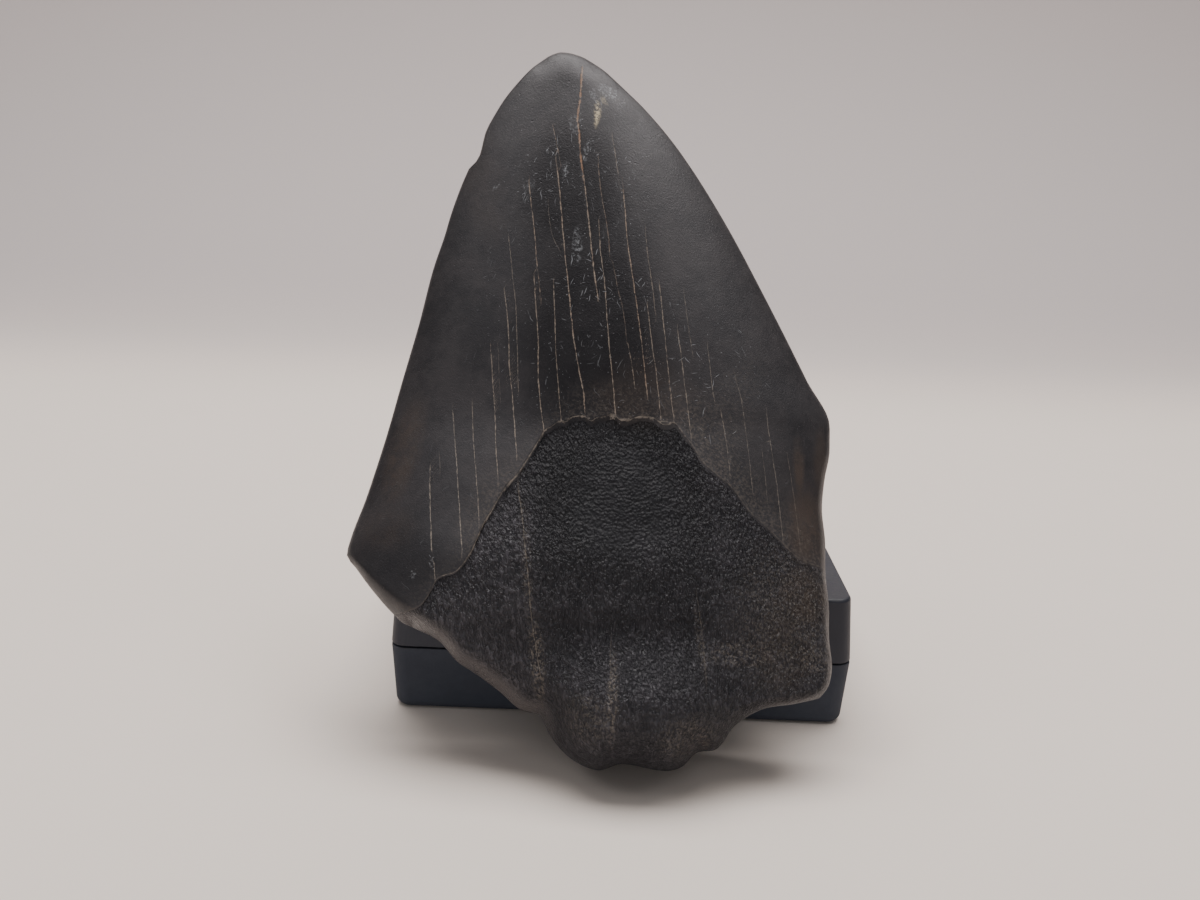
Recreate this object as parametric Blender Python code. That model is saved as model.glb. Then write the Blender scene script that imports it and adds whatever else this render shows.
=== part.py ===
"""A large fossil shark tooth, stood on its root and leaning back on a closed two-part plastic box.

Metres, +Z up. The origin is the middle of the box's underside. +X is to the viewer's right, +Z is up
and the tooth stands on the -Y side of the box, its tongue-side face turned to -Y.

The tooth is drawn in its own flat frame: x across it, s up along it from the ground, and t through
it, towards the box. Two sheets, front and back, are bent to the surfaces of the tooth and welded
along its rim.
"""
import math

import bmesh
import bpy
import numpy as np
from mathutils import Matrix, Vector

MM = 0.001
TOUCHING = 0.01 * MM

# Box, outside sizes where its two halves meet.
BOX_WIDTH = 86.0 * MM
BOX_DEPTH = 64.6 * MM
BOX_HEIGHT = 25.2 * MM
SEAM_HEIGHT = 12.55 * MM
SEAM_GAP = 0.3 * MM
DRAFT = 0.8 * MM
CORNER_RADIUS = 3.0 * MM
BASE_EDGE_RADIUS = 1.5 * MM
LID_EDGE_RADIUS = 0.7 * MM
WALL = 2.0 * MM
LIP_HEIGHT = 2.0 * MM
LIP_INSET = 1.15 * MM
REBATE_INSET = 0.85 * MM
LIP_OVERLAP = 3.0 * MM
SMALLEST_CORNER = 0.8 * MM
CORNER_STEPS = 5
EDGE_STEPS = 3

# Tooth, placed by its foot's distance from the middle of the box and by its lean.
FOOT_Y = -48.15 * MM
LEAN_BACK = math.radians(22.0)
SMOOTH_BELOW = math.radians(40.0)

# Rows and columns of each of the tooth's two sheets, and how they crowd towards the rim.
COLUMNS = 38
ROOT_ROWS = 20
CROWN_ROWS = 20
LAST_ROOT_ROW = 0.985
COLUMN_CROWDING = 0.55
ROOT_ROW_CROWDING = 0.45
CROWN_ROW_CROWDING = 0.2
BOW_FADE = 1.3
TIP_BOW_FADE = 6
SWELL_POWER = 2.2
SWELL_SOFTNESS = 0.85
CURVE_DOTS = 500

# Outline of the tooth, in mm (x, s). Each list is a smooth curve through its points.
ROOT_UNDERSIDE = [(-37, 22), (-31.8, 19.7), (-28.8, 16.7), (-25, 14.4), (-21, 11.8), (-17, 8.8), (-14.2, 8.2),
                  (-12, 4.8), (-8.5, 1.3), (-3.5, -0.5), (0.5, 0.7), (7.5, -0.2), (10.5, 0.6),
                  (13, 3), (16, 3.6), (19.5, 7.9), (24, 10.6), (29.5, 11.7), (34, 12.8)]
ROOT_LEFT_SIDE = [(-37, 22), (-38.7, 22.7), (-40.3, 24)]
ROOT_RIGHT_SIDE = [(34, 12.8), (35.6, 15.2), (36.2, 18.7), (35.9, 23), (36.1, 28), (35.7, 35)]
CROWN_LEFT_SIDE = [(-40.3, 24), (-44, 27.5), (-47.6, 31.5), (-50, 34.5), (-49.5, 37.5), (-47.6, 44),
                   (-45.1, 54), (-42.5, 66), (-40, 77), (-37.5, 89.5), (-35, 99.5), (-33, 105.7),
                   (-30.6, 109), (-30.1, 113), (-28.4, 118), (-26, 122.2), (-23, 126.3),
                   (-19.8, 129.5)]
CROWN_RIGHT_SIDE = [(35.7, 35), (35.8, 39.5), (35.2, 46), (35.6, 51), (36.6, 57), (36.6, 61),
                    (32.2, 69.7), (24.4, 84.5), (16, 99.5), (9.9, 109), (5.7, 114.7), (0.8, 120.4),
                    (-3.2, 124.4), (-7, 128), (-10.4, 130)]
TIP = [(-19.8, 129.5), (-17.6, 131), (-14.2, 131.4), (-10.4, 130)]
ENAMEL_EDGE_FRONT = [(-40.3, 24), (-35.4, 26.2), (-33.7, 30), (-28.5, 32.4), (-25.5, 39.7),
                     (-21, 48), (-15, 55.5), (-11, 59.2), (0, 59.5), (7.1, 59.2), (10.4, 55.6),
                     (17.9, 48.3), (24.8, 41.4), (30, 36.6), (35.7, 35)]
ENAMEL_EDGE_BACK = [(-40.3, 24), (-28, 32), (-14, 40), (0, 43), (14, 41), (26, 37), (35.7, 35)]
LEFT_CORNER = 3

# Surfaces along the tooth, in mm (s, value): the middle of the rim, and the front and back faces
# down the centre line, all as distances t, with minus towards the viewer.
RIM_MIDDLE = [(-1, -6.5), (8, -6.2), (18, -4.4), (28, -1.5), (38, 0.8), (50, 1.8), (62, 2.5),
              (131, 2.5)]
FRONT_FACE = [(-1, -12), (10, -12.8), (20, -14), (27, -15.3), (33, -15.2), (42, -13.2),
              (51, -11), (60, -9), (75, -8.2), (90, -6.6), (106, -4.5), (120, -2), (131, 0.2)]
BACK_FACE = [(-1, 7.1), (6.5, 7.3), (14, 6.7), (22, 6.25), (32, 6.25), (44, 6.8), (62, 7.3), (90, 6.2),
             (110, 5.2), (131, 4.4)]

# The rim's rounding radius and half thickness, in mm (s, value), on the left and on the right.
LEFT_ROUNDING = [(18, 7), (26, 4), (31, 2.2), (36, 0.9), (45, 0.6), (124, 0.6), (131, 1.6)]
RIGHT_ROUNDING = [(18, 7), (30, 5.5), (36, 4), (48, 2.8), (58, 1.5), (64, 0.7), (124, 0.6),
                  (131, 1.6)]
LEFT_RIM = [(18, 4), (26, 3), (31, 2), (36, 0.9), (45, 0.5), (124, 0.6), (131, 1.6)]
RIGHT_RIM = [(18, 4), (30, 3.4), (36, 2.6), (48, 2), (58, 1.1), (64, 0.6), (124, 0.6), (131, 1.6)]
UNDERSIDE_ROUNDING_FRONT = 8.0
UNDERSIDE_ROUNDING_BACK = 6.5
TIP_ROUNDING = 2.2

# The swelling low on the middle of the root, in mm.
LUMP_DEPTH = 7.0
LUMP_X = 2.5
LUMP_HALF_WIDTH = 15.0
LUMP_TOP = 25.0
LUMP_FULL = 10.0
LUMP_SQUARENESS = 3

# How far the enamel stands above the root, in mm.
ENAMEL_STEP = 0.5


def clear_scene():
    """Removes every object, so the file holds only what is built here."""
    for item in list(bpy.data.objects):
        bpy.data.objects.remove(item, do_unlink=True)


def new_collection(name):
    """Returns a new collection in the scene."""
    group = bpy.data.collections.new(name)
    bpy.context.scene.collection.children.link(group)
    return group


def new_material(name, colour, roughness):
    """Returns a non-metallic material with a colour and a roughness."""
    material = bpy.data.materials.new(name)
    material.use_nodes = True
    shader = material.node_tree.nodes["Principled BSDF"]
    shader.inputs["Base Color"].default_value = (*colour, 1.0)
    shader.inputs["Roughness"].default_value = roughness
    shader.inputs["Metallic"].default_value = 0.0
    material.diffuse_color = (*colour, 1.0)
    return material


def new_object(name, bm, group, material=None):
    """Makes an object from a bmesh, in a collection."""
    mesh = bpy.data.meshes.new(name)
    bm.to_mesh(mesh)
    bm.free()
    if material:
        mesh.materials.append(material)
    item = bpy.data.objects.new(name, mesh)
    group.objects.link(item)
    return item


# ---------------------------------------------------------------- the box

def edges_where(bm, test):
    """Returns the edges whose two ends both pass a test."""
    return [edge for edge in bm.edges if all(test(vert.co) for vert in edge.verts)]


def rounded_block(name, group, inset, z_low, z_high, low_draft, high_draft, low_edge=0.0,
                  high_edge=0.0):
    """Makes a block with rounded corners, its sides leaning in by a draft at its ends.

    inset is measured in from the box's outside at the seam, all round.
    """
    bm = bmesh.new()
    bmesh.ops.create_cube(bm, size=1.0)
    for vert in bm.verts:
        high = vert.co.z > 0
        pull = inset + (high_draft if high else low_draft)
        vert.co.x *= BOX_WIDTH - 2 * pull
        vert.co.y *= BOX_DEPTH - 2 * pull
        vert.co.z = z_high if high else z_low
    upright = [edge for edge in bm.edges if abs(edge.verts[0].co.z - edge.verts[1].co.z) > MM]
    radius = max(CORNER_RADIUS - inset, SMALLEST_CORNER)
    bmesh.ops.bevel(bm, geom=upright, offset=radius, segments=CORNER_STEPS, profile=0.5,
                    affect="EDGES")
    for level, radius in ((z_low, low_edge), (z_high, high_edge)):
        if radius:
            ring = edges_where(bm, lambda point: abs(point.z - level) < TOUCHING)
            bmesh.ops.bevel(bm, geom=ring, offset=radius, segments=EDGE_STEPS, profile=0.5,
                            affect="EDGES")
    return new_object(name, bm, group)


def hide_helper(item):
    """Marks an object as a cutter or a block that only shapes another."""
    item.hide_render = True
    item.display_type = "WIRE"


def combine(item, helper, operation):
    """Adds an exact Boolean of a helper to an object."""
    hide_helper(helper)
    step = item.modifiers.new(helper.name, "BOOLEAN")
    step.operation = operation
    step.solver = "EXACT"
    step.object = helper


def build_base(group, helpers, material):
    """The lower half: a tray with a thin raised lip that the lid drops over."""
    base = rounded_block("box_base", group, 0.0, 0.0, SEAM_HEIGHT, DRAFT, 0.0, low_edge=BASE_EDGE_RADIUS)
    base.data.materials.append(material)
    lip = rounded_block("base_lip", helpers, LIP_INSET, SEAM_HEIGHT - LIP_OVERLAP,
                        SEAM_HEIGHT + LIP_HEIGHT, 0.0, 0.0)
    hollow = rounded_block("base_hollow", helpers, WALL, WALL, BOX_HEIGHT, DRAFT, 0.0)
    combine(base, lip, "UNION")
    combine(base, hollow, "DIFFERENCE")
    return base


def build_lid(group, helpers, material):
    """The upper half: a cap with a rebate inside its rim for the base's lip."""
    bottom = SEAM_HEIGHT + SEAM_GAP
    lid = rounded_block("box_lid", group, 0.0, bottom, BOX_HEIGHT, 0.0, DRAFT, high_edge=LID_EDGE_RADIUS)
    lid.data.materials.append(material)
    rebate = rounded_block("lid_rebate", helpers, REBATE_INSET, 0.0,
                           SEAM_HEIGHT + LIP_HEIGHT + SEAM_GAP, 0.0, 0.0)
    hollow = rounded_block("lid_hollow", helpers, WALL, 0.0, BOX_HEIGHT - WALL, 0.0, DRAFT)
    combine(lid, rebate, "DIFFERENCE")
    combine(lid, hollow, "DIFFERENCE")
    return lid


# ---------------------------------------------------------------- the tooth

def smooth_table(table, at):
    """Reads a table of (place, value) as a smooth curve that never overshoots its points."""
    place, value = np.array(table, float).T
    rise = np.diff(value) / np.diff(place)
    slope = np.gradient(value, place)
    steepest = 2 * np.minimum(np.abs(rise[:-1]), np.abs(rise[1:])) * (rise[:-1] * rise[1:] > 0)
    slope[1:-1] = np.clip(slope[1:-1], -steepest, steepest)
    at = np.clip(at, place[0], place[-1])
    k = np.clip(np.searchsorted(place, at) - 1, 0, len(place) - 2)
    span = place[k + 1] - place[k]
    f = (at - place[k]) / span
    start = (1 + 2 * f) * (1 - f) ** 2 * value[k] + f * (1 - f) ** 2 * span * slope[k]
    end = f * f * (3 - 2 * f) * value[k + 1] + f * f * (f - 1) * span * slope[k + 1]
    return start + end


def along(points, fraction):
    """Places on a smooth curve through points, at fractions of its length."""
    points = np.array(points, float)
    reach = np.concatenate([[0.0], np.cumsum(np.hypot(*np.diff(points, axis=0).T))])
    at = np.asarray(fraction, float) * reach[-1]
    columns = [smooth_table(np.column_stack([reach, column]), at) for column in points.T]
    return np.stack(columns, axis=-1)


def distance_to(points, x, s):
    """The distance from places to a smooth curve, taken as short straight steps."""
    dots = along(points, np.linspace(0, 1, CURVE_DOTS))
    gap = np.hypot(x[..., None] - dots[:, 0], s[..., None] - dots[:, 1])
    return gap.min(axis=-1)


def round_over(distance, radius):
    """A quarter-round profile: 0 on the rim, 1 from the radius inwards."""
    rest = 1 - np.clip(distance / radius, 0, 1)
    return np.sqrt(1 - rest * rest)


def soft_step(value):
    """Runs smoothly from 0 to 1 as the value does."""
    value = np.clip(value, 0, 1)
    return value * value * (3 - 2 * value)


def clustered(count, share):
    """Fractions from 0 to 1 that crowd towards both ends by a share."""
    even = np.linspace(0, 1, count + 1)
    return (1 - share) * even + share * (1 - np.cos(math.pi * even)) / 2


def bow(points, u):
    """How far a curve rises over the straight line between its ends, at fractions across it."""
    first, last = np.array(points[0], float), np.array(points[-1], float)
    straight = first + (last - first) * u[:, None]
    return smooth_table(points, straight[:, 0]) - straight[:, 1]


def sheet_places(enamel_edge):
    """The flat places (x, s) of one sheet, rows of columns from the underside to the tip.

    Rows follow the underside, then the enamel's edge, then flatten out towards the tip, so the
    enamel's edge is a row of its own.
    """
    u = clustered(COLUMNS, COLUMN_CROWDING)
    low, edge, tip = bow(ROOT_UNDERSIDE, u), bow(enamel_edge, u), bow(TIP, u)
    rows = []
    for f in np.append(clustered(ROOT_ROWS, ROOT_ROW_CROWDING)[:-1], LAST_ROOT_ROW):
        left, right = along(ROOT_LEFT_SIDE, f), along(ROOT_RIGHT_SIDE, f)
        straight = left + (right - left) * u[:, None]
        straight[:, 1] += low * (1 - f) + edge * f
        rows.append(straight)
    for f in clustered(CROWN_ROWS, CROWN_ROW_CROWDING):
        left, right = along(CROWN_LEFT_SIDE, f), along(CROWN_RIGHT_SIDE, f)
        straight = left + (right - left) * u[:, None]
        straight[:, 1] += edge * (1 - f) ** BOW_FADE + tip * f ** TIP_BOW_FADE
        rows.append(straight)
    return np.array(rows), u


def sheet_depth(x, s, u, front, crown):
    """The distance t of a sheet's places, from the faces along the centre line."""
    middle = smooth_table(RIM_MIDDLE, s)
    face = smooth_table(FRONT_FACE if front else BACK_FACE, s)
    left = smooth_table([(height, place) for place, height in CROWN_LEFT_SIDE[LEFT_CORNER:]], s)
    right = smooth_table([(height, place) for place, height in CROWN_RIGHT_SIDE], s)
    across = (2 * x - left - right) / (right - left)
    swell = np.clip(1 - np.abs(across) ** SWELL_POWER, 0, 1) ** SWELL_SOFTNESS
    rim = smooth_table(LEFT_RIM, s) * (1 - u) + smooth_table(RIGHT_RIM, s) * u
    depth = rim + (np.abs(face - middle) - rim) * swell
    if front:
        lump = np.exp(-np.abs((x - LUMP_X) / LUMP_HALF_WIDTH) ** LUMP_SQUARENESS)
        depth = depth + LUMP_DEPTH * lump * soft_step((LUMP_TOP - s) / (LUMP_TOP - LUMP_FULL))
    depth = depth - ENAMEL_STEP * (1 - crown) * swell
    left_side = ROOT_LEFT_SIDE + CROWN_LEFT_SIDE[1:]
    right_side = ROOT_RIGHT_SIDE + CROWN_RIGHT_SIDE[1:]
    depth = depth * round_over(distance_to(left_side, x, s), smooth_table(LEFT_ROUNDING, s))
    depth = depth * round_over(distance_to(right_side, x, s), smooth_table(RIGHT_ROUNDING, s))
    underside = UNDERSIDE_ROUNDING_FRONT if front else UNDERSIDE_ROUNDING_BACK
    depth = depth * round_over(distance_to(ROOT_UNDERSIDE, x, s), underside)
    depth = depth * round_over(distance_to(TIP, x, s), TIP_ROUNDING)
    depth[[0, -1], :] = 0.0
    depth[:, [0, -1]] = 0.0
    return middle + (-depth if front else depth)


def build_sheet(front):
    """Bends a grid to the front or the back of the tooth and returns it as a bmesh."""
    places, u = sheet_places(ENAMEL_EDGE_FRONT if front else ENAMEL_EDGE_BACK)
    x, s = places[..., 0], places[..., 1]
    crown = np.zeros_like(x)
    crown[ROOT_ROWS + 1:] = 1.0
    t = sheet_depth(x, s, u[None, :], front, crown)
    row_count = len(places)
    bm = bmesh.new()
    bmesh.ops.create_grid(bm, x_segments=COLUMNS, y_segments=row_count - 1, size=0.5)
    for vert in bm.verts:
        i = round((vert.co.x + 0.5) * COLUMNS)
        j = round((vert.co.y + 0.5) * (row_count - 1))
        vert.co = Vector((x[j, i], t[j, i], s[j, i])) * MM
    if not front:
        bmesh.ops.reverse_faces(bm, faces=bm.faces)
    return bm


def build_tooth(group, material):
    """Welds the two sheets along the rim, leans the tooth back and stands it on the ground."""
    bm = build_sheet(front=True)
    back = build_sheet(front=False)
    sheet = bpy.data.meshes.new("back_sheet")
    back.to_mesh(sheet)
    back.free()
    bm.from_mesh(sheet)
    bpy.data.meshes.remove(sheet)
    rim = [vert for vert in bm.verts if vert.is_boundary]
    bmesh.ops.remove_doubles(bm, verts=rim, dist=TOUCHING)
    bmesh.ops.transform(bm, matrix=Matrix.Rotation(-LEAN_BACK, 4, "X"), verts=bm.verts)
    lowest = min(vert.co.z for vert in bm.verts)
    tooth = new_object("tooth", bm, group, material)
    tooth.data.shade_smooth()
    tooth.data.set_sharp_from_angle(angle=SMOOTH_BELOW)
    tooth.location = (0.0, FOOT_Y, -lowest)
    return tooth


def main():
    """Builds the tooth and its box."""
    clear_scene()
    group = new_collection("fossil_tooth_on_box")
    helpers = new_collection("helpers")
    stone = new_material("dark_fossil", (0.042, 0.036, 0.036), 0.5)
    base_plastic = new_material("black_plastic_base", (0.03, 0.03, 0.034), 0.55)
    lid_plastic = new_material("black_plastic_lid", (0.032, 0.031, 0.034), 0.55)
    build_tooth(group, stone)
    build_base(group, helpers, base_plastic)
    build_lid(group, helpers, lid_plastic)


main()
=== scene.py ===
"""A large fossil shark tooth stood on its root and leaning back on a closed two-part plastic box.

Metres, +Z up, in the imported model's own frame: the origin is the middle of the box's underside and
the tooth stands on the -Y side of it. The tooth is shaped in millimetres in its own flat frame,
with x across it, s up along it from the ground and t through it, towards the box.
"""

import logging
import math
from collections.abc import Callable
from dataclasses import dataclass
from enum import Enum

import bmesh
import bpy
import numpy as np
from mathutils import Matrix, Vector, noise


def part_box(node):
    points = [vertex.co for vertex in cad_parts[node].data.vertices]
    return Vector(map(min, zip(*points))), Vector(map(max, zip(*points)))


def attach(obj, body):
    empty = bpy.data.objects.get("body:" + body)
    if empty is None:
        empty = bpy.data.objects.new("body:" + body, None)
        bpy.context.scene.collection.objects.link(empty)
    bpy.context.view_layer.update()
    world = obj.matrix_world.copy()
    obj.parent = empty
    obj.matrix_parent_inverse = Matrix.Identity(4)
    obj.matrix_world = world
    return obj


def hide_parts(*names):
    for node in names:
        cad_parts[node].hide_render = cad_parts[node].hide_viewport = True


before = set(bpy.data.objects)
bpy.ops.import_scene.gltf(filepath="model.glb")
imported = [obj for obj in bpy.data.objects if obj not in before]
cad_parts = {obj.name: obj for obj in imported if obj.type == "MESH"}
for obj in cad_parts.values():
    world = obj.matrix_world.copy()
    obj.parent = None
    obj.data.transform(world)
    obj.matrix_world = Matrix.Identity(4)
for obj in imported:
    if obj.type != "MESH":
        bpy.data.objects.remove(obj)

log = logging.getLogger("fossil_tooth")

MM = 0.001
BODY = "root"
CURVE_DOTS = 400
LEVEL_WITHIN = 0.02 * MM
PATCH_REACH = 1.4
PATCH_FADE = 0.9

Array = np.ndarray
Points = list[tuple[float, float]]
Pairs = tuple[tuple[float, float], ...]
Colour = tuple[float, float, float]
Value = float | tuple | bpy.types.NodeSocket
Sockets = bpy.types.bpy_prop_collection


# ------------------------------------------------------------------ curves and surfaces

def smooth_table(table: Points, at: Array) -> Array:
    """Reads a table as a smooth curve that never overshoots its points.

    Args:
        table: (place, value) points, in rising order of place.
        at: The places to read it at.

    Returns:
        The value at each place.
    """
    place, value = np.array(table, float).T
    rise = np.diff(value) / np.diff(place)
    slope = np.gradient(value, place)
    steepest = 2 * np.minimum(np.abs(rise[:-1]), np.abs(rise[1:])) * (rise[:-1] * rise[1:] > 0)
    slope[1:-1] = np.clip(slope[1:-1], -steepest, steepest)
    at = np.clip(at, place[0], place[-1])
    k = np.clip(np.searchsorted(place, at) - 1, 0, len(place) - 2)
    span = place[k + 1] - place[k]
    f = (at - place[k]) / span
    start = (1 + 2 * f) * (1 - f) ** 2 * value[k] + f * (1 - f) ** 2 * span * slope[k]
    end = f * f * (3 - 2 * f) * value[k + 1] + f * f * (f - 1) * span * slope[k + 1]
    return start + end


def along(points: Points, fraction: Array) -> Array:
    """Finds places on a smooth curve through points.

    Args:
        points: The points the curve runs through.
        fraction: Fractions of the curve's length.

    Returns:
        One place (x, s) for each fraction.
    """
    points = np.array(points, float)
    reach = np.concatenate([[0.0], np.cumsum(np.hypot(*np.diff(points, axis=0).T))])
    at = np.asarray(fraction, float) * reach[-1]
    columns = [smooth_table(np.column_stack([reach, column]), at) for column in points.T]
    return np.stack(columns, axis=-1)


def distance_to(points: Points, x: Array, s: Array) -> Array:
    """Measures how far places are from a smooth curve.

    Args:
        points: The points the curve runs through.
        x: The places' distance across, as rows of columns.
        s: The places' height along, as rows of columns.

    Returns:
        The distance of each place.
    """
    dots = along(points, np.linspace(0, 1, CURVE_DOTS))
    runs = np.diff(dots, axis=0)
    gaps = np.empty_like(x)
    for row in range(len(x)):
        place = np.stack([x[row], s[row]], axis=-1)
        near = ((place[:, None] - dots) ** 2).sum(axis=-1).argmin(axis=1)
        best = np.full(len(place), np.inf)
        for first in (np.clip(near - 1, 0, len(runs) - 1), np.clip(near, 0, len(runs) - 1)):
            run = runs[first]
            f = np.clip(((place - dots[first]) * run).sum(-1) / (run * run).sum(-1), 0, 1)
            best = np.minimum(best, np.hypot(*(place - dots[first] - run * f[:, None]).T))
        gaps[row] = best
    return gaps


def round_over(distance: Array, radius: Array | float) -> Array:
    """A quarter-round profile: 0 on the rim, 1 from the radius inwards."""
    rest = 1 - np.clip(distance / radius, 0, 1)
    return np.sqrt(1 - rest * rest)


def soft_step(value: Array) -> Array:
    """Runs smoothly from 0 to 1 as the value does."""
    value = np.clip(value, 0, 1)
    return value * value * (3 - 2 * value)


def hump(distance: Array, half_width: float) -> Array:
    """A smooth bump, 1 in the middle and near 0 past twice its half width."""
    return np.exp(-(distance / half_width) ** 2)


def clustered(count: int, share: float) -> Array:
    """Fractions from 0 to 1 that crowd towards both ends by a share."""
    even = np.linspace(0, 1, count + 1)
    return (1 - share) * even + share * (1 - np.cos(math.pi * even)) / 2


def bow(points: Points, u: Array) -> Array:
    """Finds how far a curve rises over the straight line between its ends.

    Args:
        points: The points the curve runs through.
        u: Fractions of that line.

    Returns:
        The rise at each fraction.
    """
    first, last = np.array(points[0], float), np.array(points[-1], float)
    straight = first + (last - first) * u[:, None]
    return smooth_table(points, straight[:, 0]) - straight[:, 1]


def grain_noise(places: tuple[Array, Array, Array], cell: tuple[float, float, float],
                seed: float) -> Array:
    """Reads a smooth noise that has its own scale in each direction.

    Args:
        places: Three coordinates of each place.
        cell: The noise's cell in each direction, in the places' own units.
        seed: Shifts the noise, so that two readings differ.

    Returns:
        A value from about -1 to 1 for each place.
    """
    a, b, c = (np.ravel(place) / size + seed for place, size in zip(places, cell))
    read = noise.noise
    values = [read(Vector(point)) for point in zip(a.tolist(), b.tolist(), c.tolist())]
    return np.array(values).reshape(places[0].shape)


# ------------------------------------------------------------------ bench work on meshes

def deselect_all() -> None:
    """Clears the selection, so that an operator touches one piece alone."""
    if bpy.context.object and bpy.context.object.mode != "OBJECT":
        bpy.ops.object.mode_set(mode="OBJECT")
    bpy.ops.object.select_all(action="DESELECT")


def take_up(*pieces: bpy.types.Object) -> None:
    """Selects only these pieces and makes the first of them active.

    Args:
        *pieces: The pieces.
    """
    deselect_all()
    for piece in pieces:
        piece.select_set(True)
    bpy.context.view_layer.objects.active = pieces[0]


@dataclass
class Bench:
    """Holds one piece in edit mode and picks its faces and edges by place."""

    piece: bpy.types.Object

    def __enter__(self) -> "Bench":
        """Opens the piece in edit mode."""
        take_up(self.piece)
        bpy.ops.object.mode_set(mode="EDIT")
        return self

    def __exit__(self, *_: object) -> None:
        """Puts the piece back in object mode."""
        bpy.ops.object.mode_set(mode="OBJECT")

    def _pick(self, mode: str, test: Callable[[object], bool]) -> None:
        """Selects what passes a test and nothing else.

        Args:
            mode: FACE or EDGE.
            test: Says whether a face or an edge is wanted.
        """
        bpy.ops.mesh.select_mode(type=mode)
        bpy.ops.mesh.select_all(action="DESELECT")
        bm = bmesh.from_edit_mesh(self.piece.data)
        for part in [part for part in (bm.faces if mode == "FACE" else bm.edges) if test(part)]:
            part.select_set(True)
        bm.select_flush_mode()
        bmesh.update_edit_mesh(self.piece.data)

    def faces(self, test: Callable[[bmesh.types.BMFace], bool]) -> None:
        """Selects the faces that pass a test."""
        self._pick("FACE", test)

    def edges(self, test: Callable[[bmesh.types.BMEdge], bool]) -> None:
        """Selects the edges that pass a test."""
        self._pick("EDGE", test)

    def flat_face_at(self, height: float, up: bool) -> None:
        """Selects the widest level face at a height.

        Args:
            height: Its z, in metres.
            up: Whether it faces up or down.
        """
        turn = 1 if up else -1

        def level(face: bmesh.types.BMFace) -> bool:
            """Whether a face lies level at the height and is turned the right way."""
            return face.normal.z * turn > 0.99 and abs(face.calc_center_median().z - height) < LEVEL_WITHIN

        bm = bmesh.from_edit_mesh(self.piece.data)
        widest = max(face.calc_area() for face in bm.faces if level(face))
        self.faces(lambda face: level(face) and face.calc_area() > 0.999 * widest)

    def ring_at(self, height: float) -> None:
        """Selects the edges that lie level at a height."""
        self.edges(lambda edge: all(abs(vert.co.z - height) < LEVEL_WITHIN for vert in edge.verts))

    def bevel(self, radius: float, steps: int) -> None:
        """Rounds the selected edges to a radius in even steps."""
        bpy.ops.mesh.bevel(offset=radius, segments=steps, profile=0.5, affect="EDGES")

    def inset(self, thickness: float) -> None:
        """Draws the selected face inwards by a thickness."""
        bpy.ops.mesh.inset(thickness=thickness, depth=0.0)

    def extrude(self, rise: float) -> None:
        """Pulls the selected face up, or pushes it down where the rise is negative."""
        bpy.ops.mesh.extrude_region_move(TRANSFORM_OT_translate={"value": (0.0, 0.0, rise)})

    def stretch(self, x: float, y: float) -> None:
        """Widens or narrows what is selected about the box's upright axis."""
        bpy.ops.transform.resize(value=(x, y, 1.0), center_override=(0.0, 0.0, 0.0))


def finish_shading(piece: bpy.types.Object, sharp_from: float) -> None:
    """Shades a piece smooth, keeps its true edges crisp and its flat faces flat.

    Args:
        piece: The piece.
        sharp_from: The angle between faces from which an edge stays sharp, in degrees.
    """
    take_up(piece)
    bpy.ops.object.shade_smooth_by_angle(angle=math.radians(sharp_from))
    weigh = piece.modifiers.new("flat_faces_lead", "WEIGHTED_NORMAL")
    weigh.keep_sharp = True
    bpy.ops.object.modifier_apply(modifier=weigh.name)


def settle(piece: bpy.types.Object, node: str) -> None:
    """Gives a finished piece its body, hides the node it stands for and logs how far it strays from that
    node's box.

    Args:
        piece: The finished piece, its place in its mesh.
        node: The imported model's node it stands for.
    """
    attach(piece, BODY)
    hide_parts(node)
    low, high = (np.array(corner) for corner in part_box(node))
    own = np.array([corner[:] for corner in piece.bound_box])
    drift = max(np.abs(own.min(0) - low).max(), np.abs(own.max(0) - high).max())
    faces = sum(len(face.vertices) - 2 for face in piece.data.polygons)
    log.info("%s: %d triangles, at most %.2f mm from the box of %s", piece.name, faces,
             drift / MM, node)


# ------------------------------------------------------------------ material notation

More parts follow.
